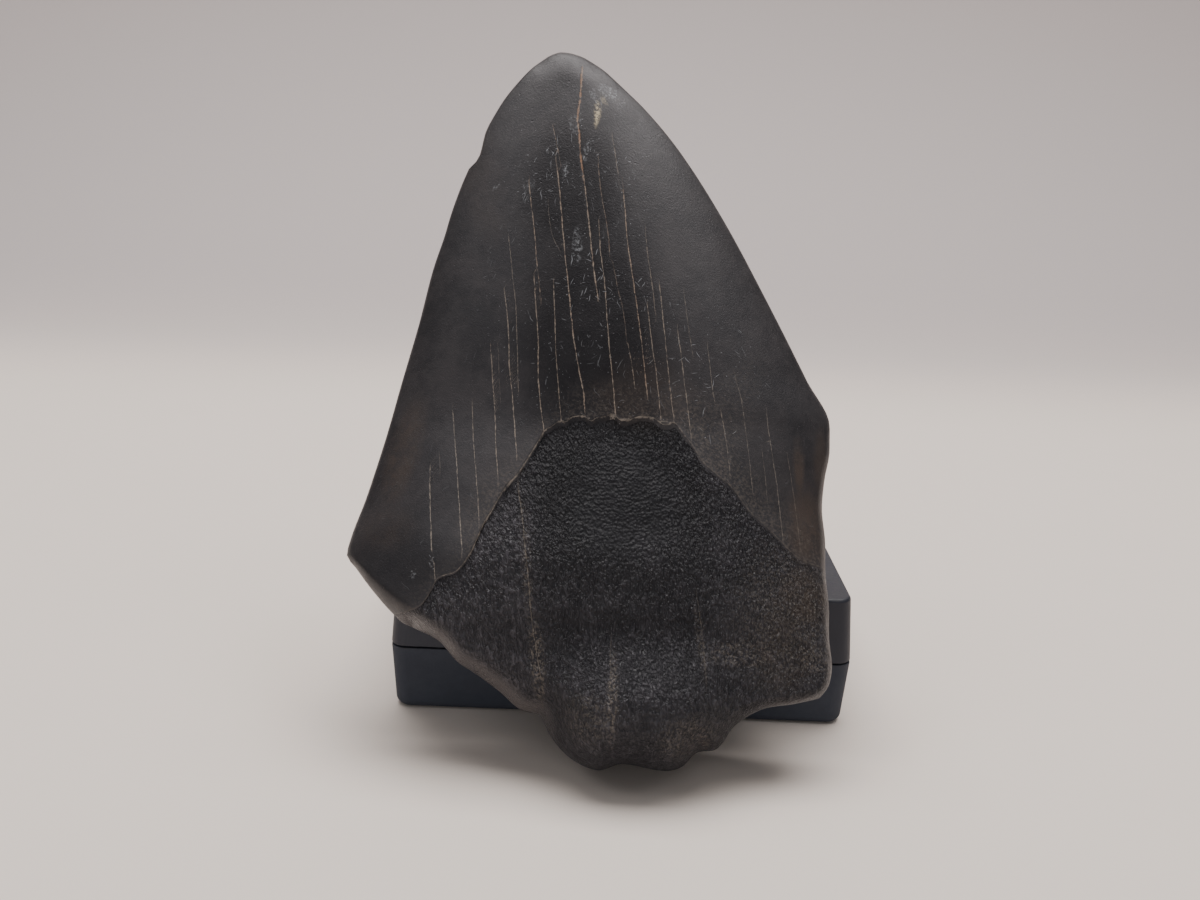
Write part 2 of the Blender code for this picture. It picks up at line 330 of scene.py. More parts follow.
@dataclass
class NodePad:
    """A node tree, with short ways to place nodes and join them."""

    tree: bpy.types.NodeTree

    def place(self, kind: str, **settings: object) -> bpy.types.Node:
        """Adds a shader node.

        Args:
            kind: Its type, without the leading "ShaderNode".
            **settings: Its own settings, by name.

        Returns:
            The new node.
        """
        node = self.tree.nodes.new("ShaderNode" + kind)
        for name, value in settings.items():
            setattr(node, name, value)
        return node

    def feed(self, socket: bpy.types.NodeSocket, value: Value) -> None:
        """Joins a socket to an output, or sets its own value where there is none.

        Args:
            socket: The input.
            value: An output, a number, or a colour's or vector's parts.
        """
        if isinstance(value, bpy.types.NodeSocket):
            self.tree.links.new(value, socket)
        elif socket.type == "RGBA" and len(value) == 3:
            socket.default_value = (*value, 1.0)
        else:
            socket.default_value = value

    def fill(self, node: bpy.types.Node, values: dict[str | int, Value]) -> bpy.types.Node:
        """Feeds several of a node's inputs.

        Args:
            node: The node.
            values: What its inputs get, by name or number.

        Returns:
            The node.
        """
        for socket, value in values.items():
            self.feed(node.inputs[socket], value)
        return node

    def sum(self, operation: str, *values: Value, clamp: bool = False) -> bpy.types.NodeSocket:
        """Works out a sum of one kind over its values, from left to right.

        Args:
            operation: The kind of sum, such as MULTIPLY.
            *values: One value or more.
            clamp: Whether the result is held between 0 and 1.

        Returns:
            The result.
        """
        total, *others = values
        for value in others or [None]:
            node = self.place("Math", operation=operation)
            self.fill(node, {0: total} if value is None else {0: total, 1: value})
            total = node.outputs[0]
        node.use_clamp = clamp
        return total

    def times(self, *values: Value, clamp: bool = False) -> bpy.types.NodeSocket:
        """Multiplies values."""
        return self.sum("MULTIPLY", *values, clamp=clamp)

    def plus(self, *values: Value, clamp: bool = False) -> bpy.types.NodeSocket:
        """Adds values up."""
        return self.sum("ADD", *values, clamp=clamp)

    def minus(self, *values: Value, clamp: bool = False) -> bpy.types.NodeSocket:
        """Takes the later values off the first."""
        return self.sum("SUBTRACT", *values, clamp=clamp)

    def largest(self, *values: Value) -> bpy.types.NodeSocket:
        """The largest of several values."""
        return self.sum("MAXIMUM", *values)

    def step(self, value: Value, low: Value, high: Value, start: float = 0.0,
             end: float = 1.0) -> bpy.types.NodeSocket:
        """Runs smoothly from one number to another as a value rises.

        Args:
            value: What is read.
            low: Where the run starts.
            high: Where it ends.
            start: The result up to there.
            end: The result from there on.

        Returns:
            The result.
        """
        node = self.place("MapRange", interpolation_type="SMOOTHSTEP")
        self.fill(node, {"Value": value, "From Min": low, "From Max": high, "To Min": start, "To Max": end})
        return node.outputs["Result"]

    def spread(self, vector: Value, factors: Value) -> bpy.types.NodeSocket:
        """Multiplies a vector part by part."""
        return self.fill(self.place("VectorMath", operation="MULTIPLY"), {0: vector, 1: factors}).outputs[0]

    def part(self, vector: Value, axis: str) -> bpy.types.NodeSocket:
        """Takes one part, X, Y or Z, out of a vector."""
        return self.fill(self.place("SeparateXYZ"), {0: vector}).outputs[axis]

    def paint(self, share: Value, under: Value, over: Value, most: float = 1.0) -> bpy.types.NodeSocket:
        """Lays one colour over another.

        Args:
            share: How much of the upper colour covers the lower one.
            under: The lower colour.
            over: The upper colour.
            most: What the share is scaled by.

        Returns:
            The mixed colour.
        """
        share = share if most == 1.0 else self.times(share, most)
        node = self.place("Mix", data_type="RGBA", blend_type="MIX", clamp_factor=True)
        return self.fill(node, {0: share, 6: under, 7: over}).outputs[2]

    def noise(self, vector: Value, cell: Value, detail: float = 2.0, roughness: float = 0.5,
              distortion: float = 0.0) -> bpy.types.NodeSocket:
        """Reads a noise.

        Args:
            vector: Where it is read.
            cell: Its cell, in the vector's own units.
            detail: How many finer layers it has.
            roughness: How strong they are.
            distortion: How far it is swirled.

        Returns:
            A value around 0.5.
        """
        size = self.sum("DIVIDE", 1.0, cell) if isinstance(cell, bpy.types.NodeSocket) else 1.0 / cell
        return self.fill(self.place("TexNoise"), {
            "Vector": vector, "Scale": size, "Detail": detail, "Roughness": roughness,
            "Distortion": distortion}).outputs["Fac"]

    def reading(self, name: str, vector: bool = False) -> bpy.types.NodeSocket:
        """Reads a value, or a vector, that the piece's surface carries."""
        node = self.place("Attribute", attribute_type="GEOMETRY", attribute_name=name)
        return node.outputs["Vector" if vector else "Fac"]

    def effect(self, group: bpy.types.NodeTree, **inputs: Value) -> bpy.types.NodeSocket:
        """Places an effect with its own values and returns its first output."""
        return self.fill(self.place("Group", node_tree=group), inputs).outputs[0]


def new_effect(name: str, inputs: dict[str, float | None],
               output: str) -> tuple[NodePad, Sockets, bpy.types.NodeSocket]:
    """Starts an effect that several materials share.

    Args:
        name: The effect's name.
        inputs: Its inputs and their usual values, None for a vector.
        output: The name of its output.

    Returns:
        Its pad, what it is given, by name, and the socket its result goes to.
    """
    tree = bpy.data.node_groups.new(name, "ShaderNodeTree")
    for label, value in inputs.items():
        kind = "NodeSocketVector" if value is None else "NodeSocketFloat"
        socket = tree.interface.new_socket(name=label, in_out="INPUT", socket_type=kind)
        if value is not None:
            socket.default_value = value
    tree.interface.new_socket(name=output, in_out="OUTPUT", socket_type="NodeSocketFloat")
    given = tree.nodes.new("NodeGroupInput").outputs
    return NodePad(tree), given, tree.nodes.new("NodeGroupOutput").inputs[0]


class Effects:
    """The effects that the finishes share, each built once."""

    def __init__(self) -> None:
        """Builds every effect."""
        self.specks = self._specks()
        self.strokes = self._strokes()
        self.mottle = self._mottle()
        self.drawn_line = self._drawn_line()
        self.pebbled = self._pebbled()

    @staticmethod
    def _scatter(pad: NodePad, given: Sockets, vector: Value, scale: Value, least: float,
                 core: float, fade: tuple[float, float, float]) -> bpy.types.NodeSocket:
        """Marks the middles of some of a pattern's cells.

        Args:
            pad: The effect's pad.
            given: What it is given, with the marks' Size and the Share of cells that have one.
            vector: Where the pattern is read.
            scale: The pattern's scale.
            least: The smallest mark, as a share of the largest.
            core: The part of a mark that is full.
            fade: How strength varies from cell to cell: from, to, and the faintest mark.

        Returns:
            The marks' mask.
        """
        cells = pad.fill(pad.place("TexVoronoi", feature="F1"), {"Vector": vector, "Scale": scale}).outputs
        chance = pad.fill(pad.place("SeparateColor"), {"Color": cells["Color"]}).outputs
        size = pad.times(given["Size"], pad.step(chance["Green"], 0, 1, least, 1.0))
        mark = pad.step(cells["Distance"], pad.times(size, core), size, 1.0, 0.0)
        chosen = pad.sum("LESS_THAN", chance["Red"], given["Share"])
        start, end, faintest = fade
        return pad.times(mark, pad.times(chosen, pad.step(chance["Blue"], start, end, faintest, 1.0)))

    def _specks(self) -> bpy.types.NodeTree:
        """Scattered small dots of uneven strength.

        Returns:
            The effect's node tree.
        """
        pad, given, result = new_effect("specks", {"Vector": None, "Spacing": 1.0, "Size": 0.2,
                                                   "Share": 0.5}, "Mask")
        scale = pad.sum("DIVIDE", 1.0, given["Spacing"])
        pad.feed(result, self._scatter(pad, given, given["Vector"], scale, 0.5, 0.4, (0, 1, 0.35)))
        return pad.tree

    def _strokes(self) -> bpy.types.NodeTree:
        """Scattered fine scratches that all run one way, a little curved.

        Returns:
            The effect's node tree.
        """
        pad, given, result = new_effect("strokes", {"Vector": None, "Turn": 0.0, "Across": 0.6,
                                                    "Length": 6.0, "Size": 0.1, "Share": 0.3}, "Mask")
        turned = pad.fill(pad.place("VectorRotate", rotation_type="Z_AXIS"),
                          {"Vector": given["Vector"], "Angle": given["Turn"]}).outputs[0]
        bend = pad.times(pad.minus(pad.noise(turned, 2.5, 1.0), 0.5), 1.6)
        offset = pad.fill(pad.place("CombineXYZ"), {"X": bend}).outputs[0]
        shifted = pad.fill(pad.place("VectorMath", operation="ADD"), {0: turned, 1: offset}).outputs[0]
        cell = pad.fill(pad.place("CombineXYZ"), {
            "X": pad.sum("DIVIDE", 1.0, given["Across"]), "Y": pad.sum("DIVIDE", 1.0, given["Length"]),
            "Z": 1.0}).outputs[0]
        placed = pad.spread(shifted, cell)
        pad.feed(result, self._scatter(pad, given, placed, 1.0, 0.35, 0.5, (0.1, 1.1, 0.15)))
        return pad.tree

    @staticmethod
    def _mottle() -> bpy.types.NodeTree:
        """Soft patches with a finer break-up in them.

        Returns:
            The effect's node tree.
        """
        pad, given, result = new_effect("mottle", {"Vector": None, "Patch": 0.01, "Fine": 0.002,
                                                   "Low": 0.35, "High": 0.65}, "Mask")
        broad = pad.noise(given["Vector"], given["Patch"], 3.0, 0.55, 0.3)
        fine = pad.noise(given["Vector"], given["Fine"], 3.0, 0.6)
        both = pad.plus(pad.times(broad, 0.65), pad.times(fine, 0.35))
        pad.feed(result, pad.step(both, given["Low"], given["High"]))
        return pad.tree

    @staticmethod
    def _drawn_line() -> bpy.types.NodeTree:
        """A thin ragged line where a signed distance passes through nought.

        Returns:
            The effect's node tree.
        """
        pad, given, result = new_effect("drawn_line", {"Vector": None, "Side": 1.0, "Near": 0.0,
                                                       "Width": 0.15, "Raggedness": 0.5}, "Mask")
        place = given["Vector"]
        wander = pad.times(pad.minus(pad.noise(place, 0.003, 2.0, 0.5), 0.5), 0.25)
        tremble = pad.times(pad.minus(pad.noise(place, 0.0006, 2.0, 0.6), 0.5), 0.16)
        side = pad.plus(given["Side"], pad.plus(wander, tremble))
        beat = pad.step(pad.noise(place, 0.0009, 3.0, 0.65), 0.34, 0.62)
        keep = pad.minus(1.0, pad.times(given["Raggedness"], pad.minus(1.0, beat)))
        width = pad.times(given["Width"], keep)
        line = pad.step(pad.sum("ABSOLUTE", side), pad.times(width, 0.3), pad.times(width, 1.2), 1.0, 0.0)
        broken = pad.step(pad.noise(place, 0.0005, 2.0, 0.6), 0.3, 0.62, 0.45, 1.0)
        near = pad.times(given["Near"], 1.0, clamp=True)
        pad.feed(result, pad.times(line, broken, near))
        return pad.tree

    @staticmethod
    def _pebbled() -> bpy.types.NodeTree:
        """A fine uneven grain, as a height: soft humps with finer grit on them.

        Returns:
            The effect's node tree.
        """
        pad, given, result = new_effect("pebbled", {"Vector": None, "Cell": 0.001, "Grit": 0.0003,
                                                    "Grit share": 0.35}, "Height")
        cells = pad.fill(pad.place("TexVoronoi", feature="SMOOTH_F1"), {
            "Vector": given["Vector"], "Scale": pad.sum("DIVIDE", 1.0, given["Cell"])})
        humps = pad.step(cells.outputs["Distance"], 0.1, 0.75, 1.0, 0.0)
        grit = pad.noise(given["Vector"], given["Grit"], 3.0, 0.6)
        pad.feed(result, pad.plus(humps, pad.times(grit, given["Grit share"])))
        return pad.tree


def new_material(name: str) -> tuple[bpy.types.Material, NodePad, bpy.types.Node]:
    """Starts a material.

    Args:
        name: Its name.

    Returns:
        The material, its pad and its surface shader.
    """
    material = bpy.data.materials.new(name)
    material.use_nodes = True
    return material, NodePad(material.node_tree), material.node_tree.nodes["Principled BSDF"]


def add_bump(pad: NodePad, shader: bpy.types.Node, height: Value, depth: float) -> None:
    """Gives a surface its fine relief.

    Args:
        pad: The material's pad.
        shader: Its surface shader.
        height: The relief, from 0 to about 1.
        depth: How deep the whole relief is, in metres.
    """
    bump = pad.fill(pad.place("Bump"), {"Strength": 1.0, "Distance": depth, "Height": height})
    pad.feed(shader.inputs["Normal"], bump.outputs[0])


def crack_line(pad: NodePad, effects: Effects, place: Value, raggedness: float) -> bpy.types.NodeSocket:
    """The mask of the cracks that a surface carries, drawn more or less raggedly."""
    return pad.effect(effects.drawn_line, Vector=place, Side=pad.reading("line_side"),
                      Near=pad.reading("line_near"), Width=pad.reading("line_width"),
                      Raggedness=raggedness)


# ------------------------------------------------------------------ finishes

@dataclass(frozen=True)
class EnamelFinish:
    """The crown's dark polished enamel, with its cracks, scratches and tan worn edge, and painted shade: a
    band down its middle darkened for the dark reflection there.
    """

    dark: Colour = (0.0068, 0.0062, 0.0080)
    light: Colour = (0.0225, 0.0200, 0.0215)
    brown: Colour = (0.0380, 0.0270, 0.0215)
    # Painted shade: laid down the crown's middle for the dark reflection there.
    black: Colour = (0.0036, 0.0034, 0.0044)
    tan: Colour = (0.1100, 0.0900, 0.0720)
    fill: Colour = (0.2700, 0.2300, 0.1900)
    rust: Colour = (0.2400, 0.1350, 0.0800)
    scratch: Colour = (0.4200, 0.4400, 0.4700)
    tint: Colour = (0.99, 0.945, 0.99)
    cream: Colour = (0.4600, 0.3800, 0.2500)
    smooth: float = 0.46
    worn: float = 0.62
    shine: float = 0.34
    gloss: float = 0.32
    relief_depth: float = 0.00010
    stroke_turns_and_lengths: Pairs = ((0.05, 6.0), (0.6, 4.0), (-0.7, 3.6), (1.5, 3.0))
    speck_spacings_and_sizes: Pairs = ((0.0009, 0.17), (0.0006, 0.2))

    def build(self, effects: Effects) -> bpy.types.Material:
        """Makes the material.

        Args:
            effects: The effects shared between finishes.

        Returns:
            The enamel material.
        """
        material, pad, shader = new_material("fossil_enamel")
        place = pad.place("TexCoord").outputs["Object"]
        flow = pad.reading("flow", vector=True)
        scuffed = pad.reading("scuffs")
        painted_dark_strip = pad.reading("painted_dark_strip")
        grit = pad.noise(place, 0.0005, 3.0, 0.65)

        mottle = pad.effect(effects.mottle, Vector=place, Patch=0.011, Fine=0.0016, Low=0.36, High=0.66)
        colour = pad.paint(mottle, self.dark, self.light)
        drawn = pad.noise(pad.spread(flow, (1.0, 0.07, 1.0)), 0.45, 3.0, 0.6)
        colour = pad.paint(pad.step(drawn, 0.55, 0.78, 0.0, 0.5), colour, self.light)
        # Painted shade: the crown's middle darkened towards black for its dark reflection.
        colour = pad.paint(painted_dark_strip, colour, self.black, 0.95)
        patch = pad.effect(effects.mottle, Vector=place, Patch=0.004, Fine=0.0009, Low=0.3, High=0.62)
        brown = pad.times(pad.reading("brown"), pad.step(patch, 0, 1, 0.35, 1.0))
        colour = pad.paint(brown, colour, self.brown)
        dust = pad.times(pad.reading("dust"), pad.step(grit, 0.42, 0.68))
        colour = pad.paint(dust, colour, self.tan, 0.42)

        marks = self._marks(pad, effects, place, flow, scuffed)
        powder = pad.times(pad.step(scuffed, 0.6, 1.0, 0.0, 0.42), pad.step(grit, 0.45, 0.7))
        marks = pad.largest(marks, powder)
        colour = pad.paint(marks, colour, self.scratch, 0.85)
        bruise = pad.times(pad.reading("pale"), pad.step(grit, 0.36, 0.6), clamp=True)
        colour = pad.paint(bruise, colour, self.cream)

        lip_noise = pad.noise(place, 0.0012, 3.0, 0.6)
        lip_width = pad.step(lip_noise, 0.34, 0.66, 0.04, 0.2)
        strayed = pad.plus(pad.reading("edge_gap"), pad.times(pad.minus(grit, 0.5), 0.25))
        lip = pad.step(pad.sum("ABSOLUTE", strayed), pad.times(lip_width, 0.4), lip_width, 1.0, 0.0)
        broken = pad.step(pad.noise(place, 0.0007, 3.0, 0.6), 0.36, 0.6, 0.25, 1.0)
        lip = pad.times(lip, broken, pad.reading("lip"))
        colour = pad.paint(lip, colour, self.fill, 0.6)

        line = crack_line(pad, effects, place, 0.8)
        iron = pad.times(pad.reading("rust"), pad.step(lip_noise, 0.35, 0.6, 0.5, 1.0))
        colour = pad.paint(line, colour, pad.paint(iron, self.fill, self.rust), 0.95)

        dull = pad.largest(pad.largest(lip, line), pad.largest(dust, bruise))
        dull = pad.largest(dull, pad.times(marks, 0.6))
        satin = pad.step(pad.noise(place, 0.005, 5.0, 0.7), 0.35, 0.7, self.smooth - 0.02, self.smooth + 0.12)
        rough = pad.plus(satin, pad.times(dull, self.worn - self.smooth), clamp=True)
        pad.fill(shader, {
            "Base Color": colour, "Roughness": rough, "Specular Tint": self.tint,
            "Specular IOR Level": self.shine, "Coat Roughness": self.smooth + 0.04,
            "Coat Weight": pad.step(painted_dark_strip, 0, 1, self.gloss, 0.0)})

        pits = pad.effect(effects.specks, Vector=place, Spacing=0.0013, Size=0.2, Share=0.3)
        fine = pad.noise(place, 0.0003, 2.0, 0.6)
        relief = pad.plus(pad.times(drawn, 0.15), pad.times(pad.plus(grit, fine), 0.5), pad.times(pits, -0.5),
                          pad.times(marks, -0.2), pad.times(line, -0.5))
        add_bump(pad, shader, relief, self.relief_depth)
        return material

    def _marks(self, pad: NodePad, effects: Effects, place: Value, flow: Value,
               scuffed: Value) -> bpy.types.NodeSocket:
        """Lays scratches in several directions and specks, thicker where the enamel is scuffed.

        Args:
            pad: The material's pad.
            effects: The effects shared between finishes.
            place: The place on the piece.
            flow: The place along the surface's grain.
            scuffed: How scuffed each place is.

        Returns:
            The marks' mask.
        """
        crowding = pad.step(scuffed, 0, 1, 0.1, 0.62)
        strokes = [pad.effect(effects.strokes, Vector=flow, Turn=turn, Across=0.36, Length=length,
                              Size=0.23, Share=crowding) for turn, length in self.stroke_turns_and_lengths]
        specks = [pad.effect(effects.specks, Vector=place, Spacing=spacing, Size=size, Share=0.4)
                  for spacing, size in self.speck_spacings_and_sizes]
        shown = pad.plus(0.08, pad.times(scuffed, 0.85))
        return pad.times(pad.largest(*strokes, *specks), shown, clamp=True)


@dataclass(frozen=True)
class RootFinish:
    """The root's matt black porous bone, with worm-like wrinkles, pale specks that stand partly for grit in
    its pores and partly for painted glints, and painted light: lighter crests, a lighter foot and left side,
    and lower rims lighter partly from wear and partly for the floor's light.
    """

    dark: Colour = (0.0038, 0.0038, 0.0060)
    light: Colour = (0.0125, 0.0118, 0.0150)
    # Painted light: laid on the grain's crests as glints, more towards the root's foot and left side.
    grey: Colour = (0.0590, 0.0545, 0.0625)
    brown: Colour = (0.0330, 0.0230, 0.0180)
    tan: Colour = (0.2000, 0.1700, 0.1430)
    # Pale specks: partly grit, partly painted glints.
    grain: Colour = (0.3300, 0.3300, 0.3300)
    # Lighter lower rims: partly wear, partly painted light from the floor.
    worn: Colour = (0.0700, 0.0620, 0.0620)
    roughness: float = 0.50
    shine: float = 0.27
    relief_depth: float = 0.00030

    def build(self, effects: Effects) -> bpy.types.Material:
        """Makes the material.

        Args:
            effects: The effects shared between finishes.

        Returns:
            The root material.
        """
        material, pad, shader = new_material("fossil_root")
        place = pad.place("TexCoord").outputs["Object"]
        flow = pad.reading("flow", vector=True)
        dusty = pad.reading("dust")
        worn = pad.reading("worn")
        painted_root_light = pad.reading("painted_root_light")

        mottle = pad.effect(effects.mottle, Vector=place, Patch=0.009, Fine=0.0012, Low=0.38, High=0.68)
        wrinkle = pad.noise(pad.spread(flow, (1.0, 0.4, 1.0)), 0.42, 2.0, 0.6, 0.35)
        ridge = pad.step(wrinkle, 0.36, 0.64)
        pebbly = pad.step(pad.reading("pebble"), 0, 1, 0.12, 1.0)
        colour = pad.paint(mottle, self.dark, self.light, 0.7)
        # Painted light: the grain's crests lighter as glints, where the root is painted lighter.
        raised = pad.times(painted_root_light, pad.step(ridge, 0.1, 1.0, 0.42, 1.0),
                           pad.step(pad.reading("crest"), 0.1, 0.9, 0.55, 1.0))
        colour = pad.paint(pad.times(raised, pad.step(mottle, 0, 1, 0.6, 1.0)), colour, self.grey)
        patch = pad.effect(effects.mottle, Vector=place, Patch=0.004, Fine=0.0008, Low=0.3, High=0.62)
        brown = pad.times(pad.reading("brown"), pad.step(patch, 0, 1, 0.3, 1.0))
        colour = pad.paint(brown, colour, self.brown)
        # Lighter lower rims: partly wear, partly painted light from the floor.
        colour = pad.paint(pad.times(worn, pad.step(patch, 0, 1, 0.6, 1.0)), colour, self.worn)

        grit = pad.noise(place, 0.00045, 3.0, 0.65)
        dust = pad.times(dusty, pad.step(grit, 0.44, 0.66), clamp=True)
        colour = pad.paint(dust, colour, self.tan, 0.7)
        line = crack_line(pad, effects, place, 0.7)
        colour = pad.paint(line, colour, self.tan, 0.85)

        # Pale specks, partly grit in the pores and partly painted glints, more where dusty.
        sparse = pad.effect(effects.specks, Vector=place, Spacing=0.00125, Size=0.13, Share=0.35)
        tiny = pad.effect(effects.specks, Vector=place, Spacing=0.0007, Size=0.15, Share=0.22)
        shown = pad.plus(0.45, pad.times(dusty, 0.6), clamp=True)
        hidden = pad.minus(1.0, pad.times(worn, 0.8))
        grains_and_glints = pad.times(pad.largest(sparse, tiny), shown, hidden)
        colour = pad.paint(grains_and_glints, colour, self.grain, 0.6)

        rough = pad.step(pad.noise(place, 0.003, 3.0, 0.6), 0.3, 0.7, self.roughness - 0.06,
                         self.roughness + 0.08)
        smoother = pad.plus(pad.times(worn, 0.05), pad.times(painted_root_light, 0.13))
        rough = pad.minus(pad.plus(rough, pad.times(pebbly, 0.1)), smoother, clamp=True)
        pad.fill(shader, {"Base Color": colour, "Roughness": rough, "Specular IOR Level": self.shine})

        pores = pad.effect(effects.pebbled, Vector=place, Cell=0.00050, Grit=0.0002)
        long = pad.times(ridge, pad.minus(1.2, pebbly))
        relief = pad.plus(long, pad.times(pores, pad.step(pebbly, 0, 1, 0.35, 0.5)))
        calm = pad.minus(1.0, pad.times(worn, 0.75))
        relief = pad.plus(pad.times(relief, calm), pad.times(line, -0.5))
        add_bump(pad, shader, relief, self.relief_depth)
        return material


@dataclass(frozen=True)
class PlasticFinish:
    """Moulded matt black plastic, paler in a band along its edges, partly rubbed wear and partly a painted
    highlight, and dusty on top, where a thin film also paints the top lighter.
    """

    name: str
    dark: Colour = (0.0097, 0.0117, 0.0215)
    light: Colour = (0.0112, 0.0133, 0.0240)
    # Paler plastic for scratches and for the band along an edge, partly rubbed wear and partly a painted
    # highlight.
    rubbed_and_highlit: Colour = (0.0450, 0.0450, 0.0490)
    dust: Colour = (0.2100, 0.2000, 0.1850)
    roughness: float = 0.46
    shine: float = 0.42
    rubbed_and_highlit_height: float = 25.0
    relief_depth: float = 0.000012
    scratch_turns: tuple[float, ...] = (0.3, 1.25, -0.8)

    def build(self, effects: Effects) -> bpy.types.Material:
        """Makes the material.

        Args:
            effects: The effects shared between finishes.

        Returns:
            The plastic material.
        """
        material, pad, shader = new_material(self.name)
        place = pad.place("TexCoord").outputs["Object"]
        mottle = pad.effect(effects.mottle, Vector=place, Patch=0.014, Fine=0.0015, Low=0.35, High=0.68)
        colour = pad.paint(mottle, self.dark, self.light)

        # Partly painted highlight: a paler band along the edge at that height, broken by noise as rubbed
        # wear.
        near = pad.sum("ABSOLUTE", pad.minus(pad.part(place, "Z"), self.rubbed_and_highlit_height * MM))
        edge = pad.step(near, 0.0001, 0.0005, 1.0, 0.0)
        rub_and_highlight = pad.times(edge, pad.step(pad.noise(place, 0.0022, 4.0, 0.65), 0.42, 0.7))
        colour = pad.paint(rub_and_highlight, colour, self.rubbed_and_highlit, 0.6)

        in_mm = pad.spread(place, (1 / MM, 1 / MM, 1 / MM))
        scratches = pad.largest(*[pad.effect(effects.strokes, Vector=in_mm, Turn=turn, Across=0.9,
                                             Length=11.0, Size=0.05, Share=0.09)
                                  for turn in self.scratch_turns])
        colour = pad.paint(scratches, colour, self.rubbed_and_highlit, 0.35)

        upward = pad.part(pad.place("NewGeometry").outputs["Normal"], "Z")
        lying = pad.step(upward, 0.4, 0.95, 0.12, 1.0)
        specks = pad.effect(effects.specks, Vector=place, Spacing=0.0016, Size=0.09, Share=0.3)
        settled = pad.times(specks, lying)
        # A thin even dust film on every upward face, which also paints the top lighter.
        dust_film_and_top_light = pad.times(lying, pad.step(mottle, 0, 1, 0.026, 0.032))
        colour = pad.paint(pad.largest(pad.times(settled, 0.5), dust_film_and_top_light), colour, self.dust)

        rough = pad.step(pad.noise(place, 0.004, 4.0, 0.6), 0.3, 0.7, self.roughness,
                         self.roughness + 0.04)
        rough = pad.plus(rough, pad.times(pad.largest(settled, rub_and_highlight), 0.2), clamp=True)
        pad.fill(shader, {"Base Color": colour, "Roughness": rough, "Specular IOR Level": self.shine})
        grain = pad.effect(effects.pebbled, Vector=place, Cell=0.00042, Grit=0.00015)
        relief = pad.plus(pad.times(grain, 0.8), pad.times(scratches, -0.5))
        add_bump(pad, shader, relief, self.relief_depth)
        return material


@dataclass(frozen=True)
class SweepFinish:
    """The studio's plain pale paper, warm on the floor, with painted shade that makes it darker and greyer up
    the wall.
    """

    floor: Colour = (0.725, 0.648, 0.590)
    # Painted shade: the same paper, darker up the wall where less light reaches it.
    wall: Colour = (0.447, 0.403, 0.398)
    shade: Colour = (0.42, 0.39, 0.37)
    wall_starts: float = 0.20
    wall_full: float = 0.45
    roughness: float = 0.7
    relief_depth: float = 0.00004

    def build(self, effects: Effects) -> bpy.types.Material:
        """Makes the material.

        Args:
            effects: The effects shared between finishes.

        Returns:
            The paper material.
        """
        material, pad, shader = new_material("studio_paper")
        place = pad.place("TexCoord").outputs["Object"]
        # Painted shade: the paper darkens towards the wall colour as it rises.
        upright = pad.step(pad.part(place, "Y"), self.wall_starts, self.wall_full)
        colour = pad.paint(upright, self.floor, self.wall)
        soft = pad.effect(effects.mottle, Vector=place, Patch=0.12, Fine=0.03, Low=0.2, High=0.8)
        colour = pad.paint(soft, colour, self.shade, 0.05)
        pad.fill(shader, {"Base Color": colour, "Roughness": self.roughness})
        add_bump(pad, shader, pad.noise(place, 0.004, 3.0, 0.6), self.relief_depth)
        return material


# ------------------------------------------------------------------ the tooth

class Face(Enum):
    """The two faces of the tooth, with a number that sets their noise apart."""

    FRONT = 0
    BACK = 1


@dataclass(frozen=True)
class Crack:
    """One lengthwise crack, as (x, s) points from its top to its foot, in millimetres."""

    points: Pairs
    half_width: float = 0.13
    strength: float = 0.9
    rust: float = 0.15
    fade: float = 4.0

    def read(self, x: Array, s: Array) -> tuple[Array, Array]:
        """Measures the crack's field.

        Args:
            x: Places across.
            s: Places along.

        Returns:
            The signed distance across the crack, and its strength.
        """
        rising = [(height, place) for place, height in reversed(self.points)]
        line = smooth_table(rising, s)
        slope = smooth_table(rising, s + 0.5) - smooth_table(rising, s - 0.5)
        side = (x - line) / np.hypot(1, slope)
        low, high = rising[0][0], rising[-1][0]
        ends = soft_step((s - low) / self.fade + 0.5) * soft_step((high - s) / self.fade + 0.5)
        return side, self.strength * ends


@dataclass(frozen=True)
class Patch:
    """A soft oval mark on the surface, its middle and half sizes in millimetres."""

    x: float
    s: float
    half_across: float
    half_along: float
    strength: float = 1.0
    turn: float = 0.0

    def read(self, x: Array, s: Array) -> Array:
        """Reads the mark, full in its middle and gone a little past its size.

        Args:
            x: Places across.
            s: Places along.

        Returns:
            Its strength at each place.
        """
        turn = math.radians(self.turn)
        across = (x - self.x) * math.cos(turn) + (s - self.s) * math.sin(turn)
        upward = (s - self.s) * math.cos(turn) - (x - self.x) * math.sin(turn)
        reach = np.hypot(across / self.half_across, upward / self.half_along)
        return self.strength * soft_step((PATCH_REACH - reach) / PATCH_FADE)


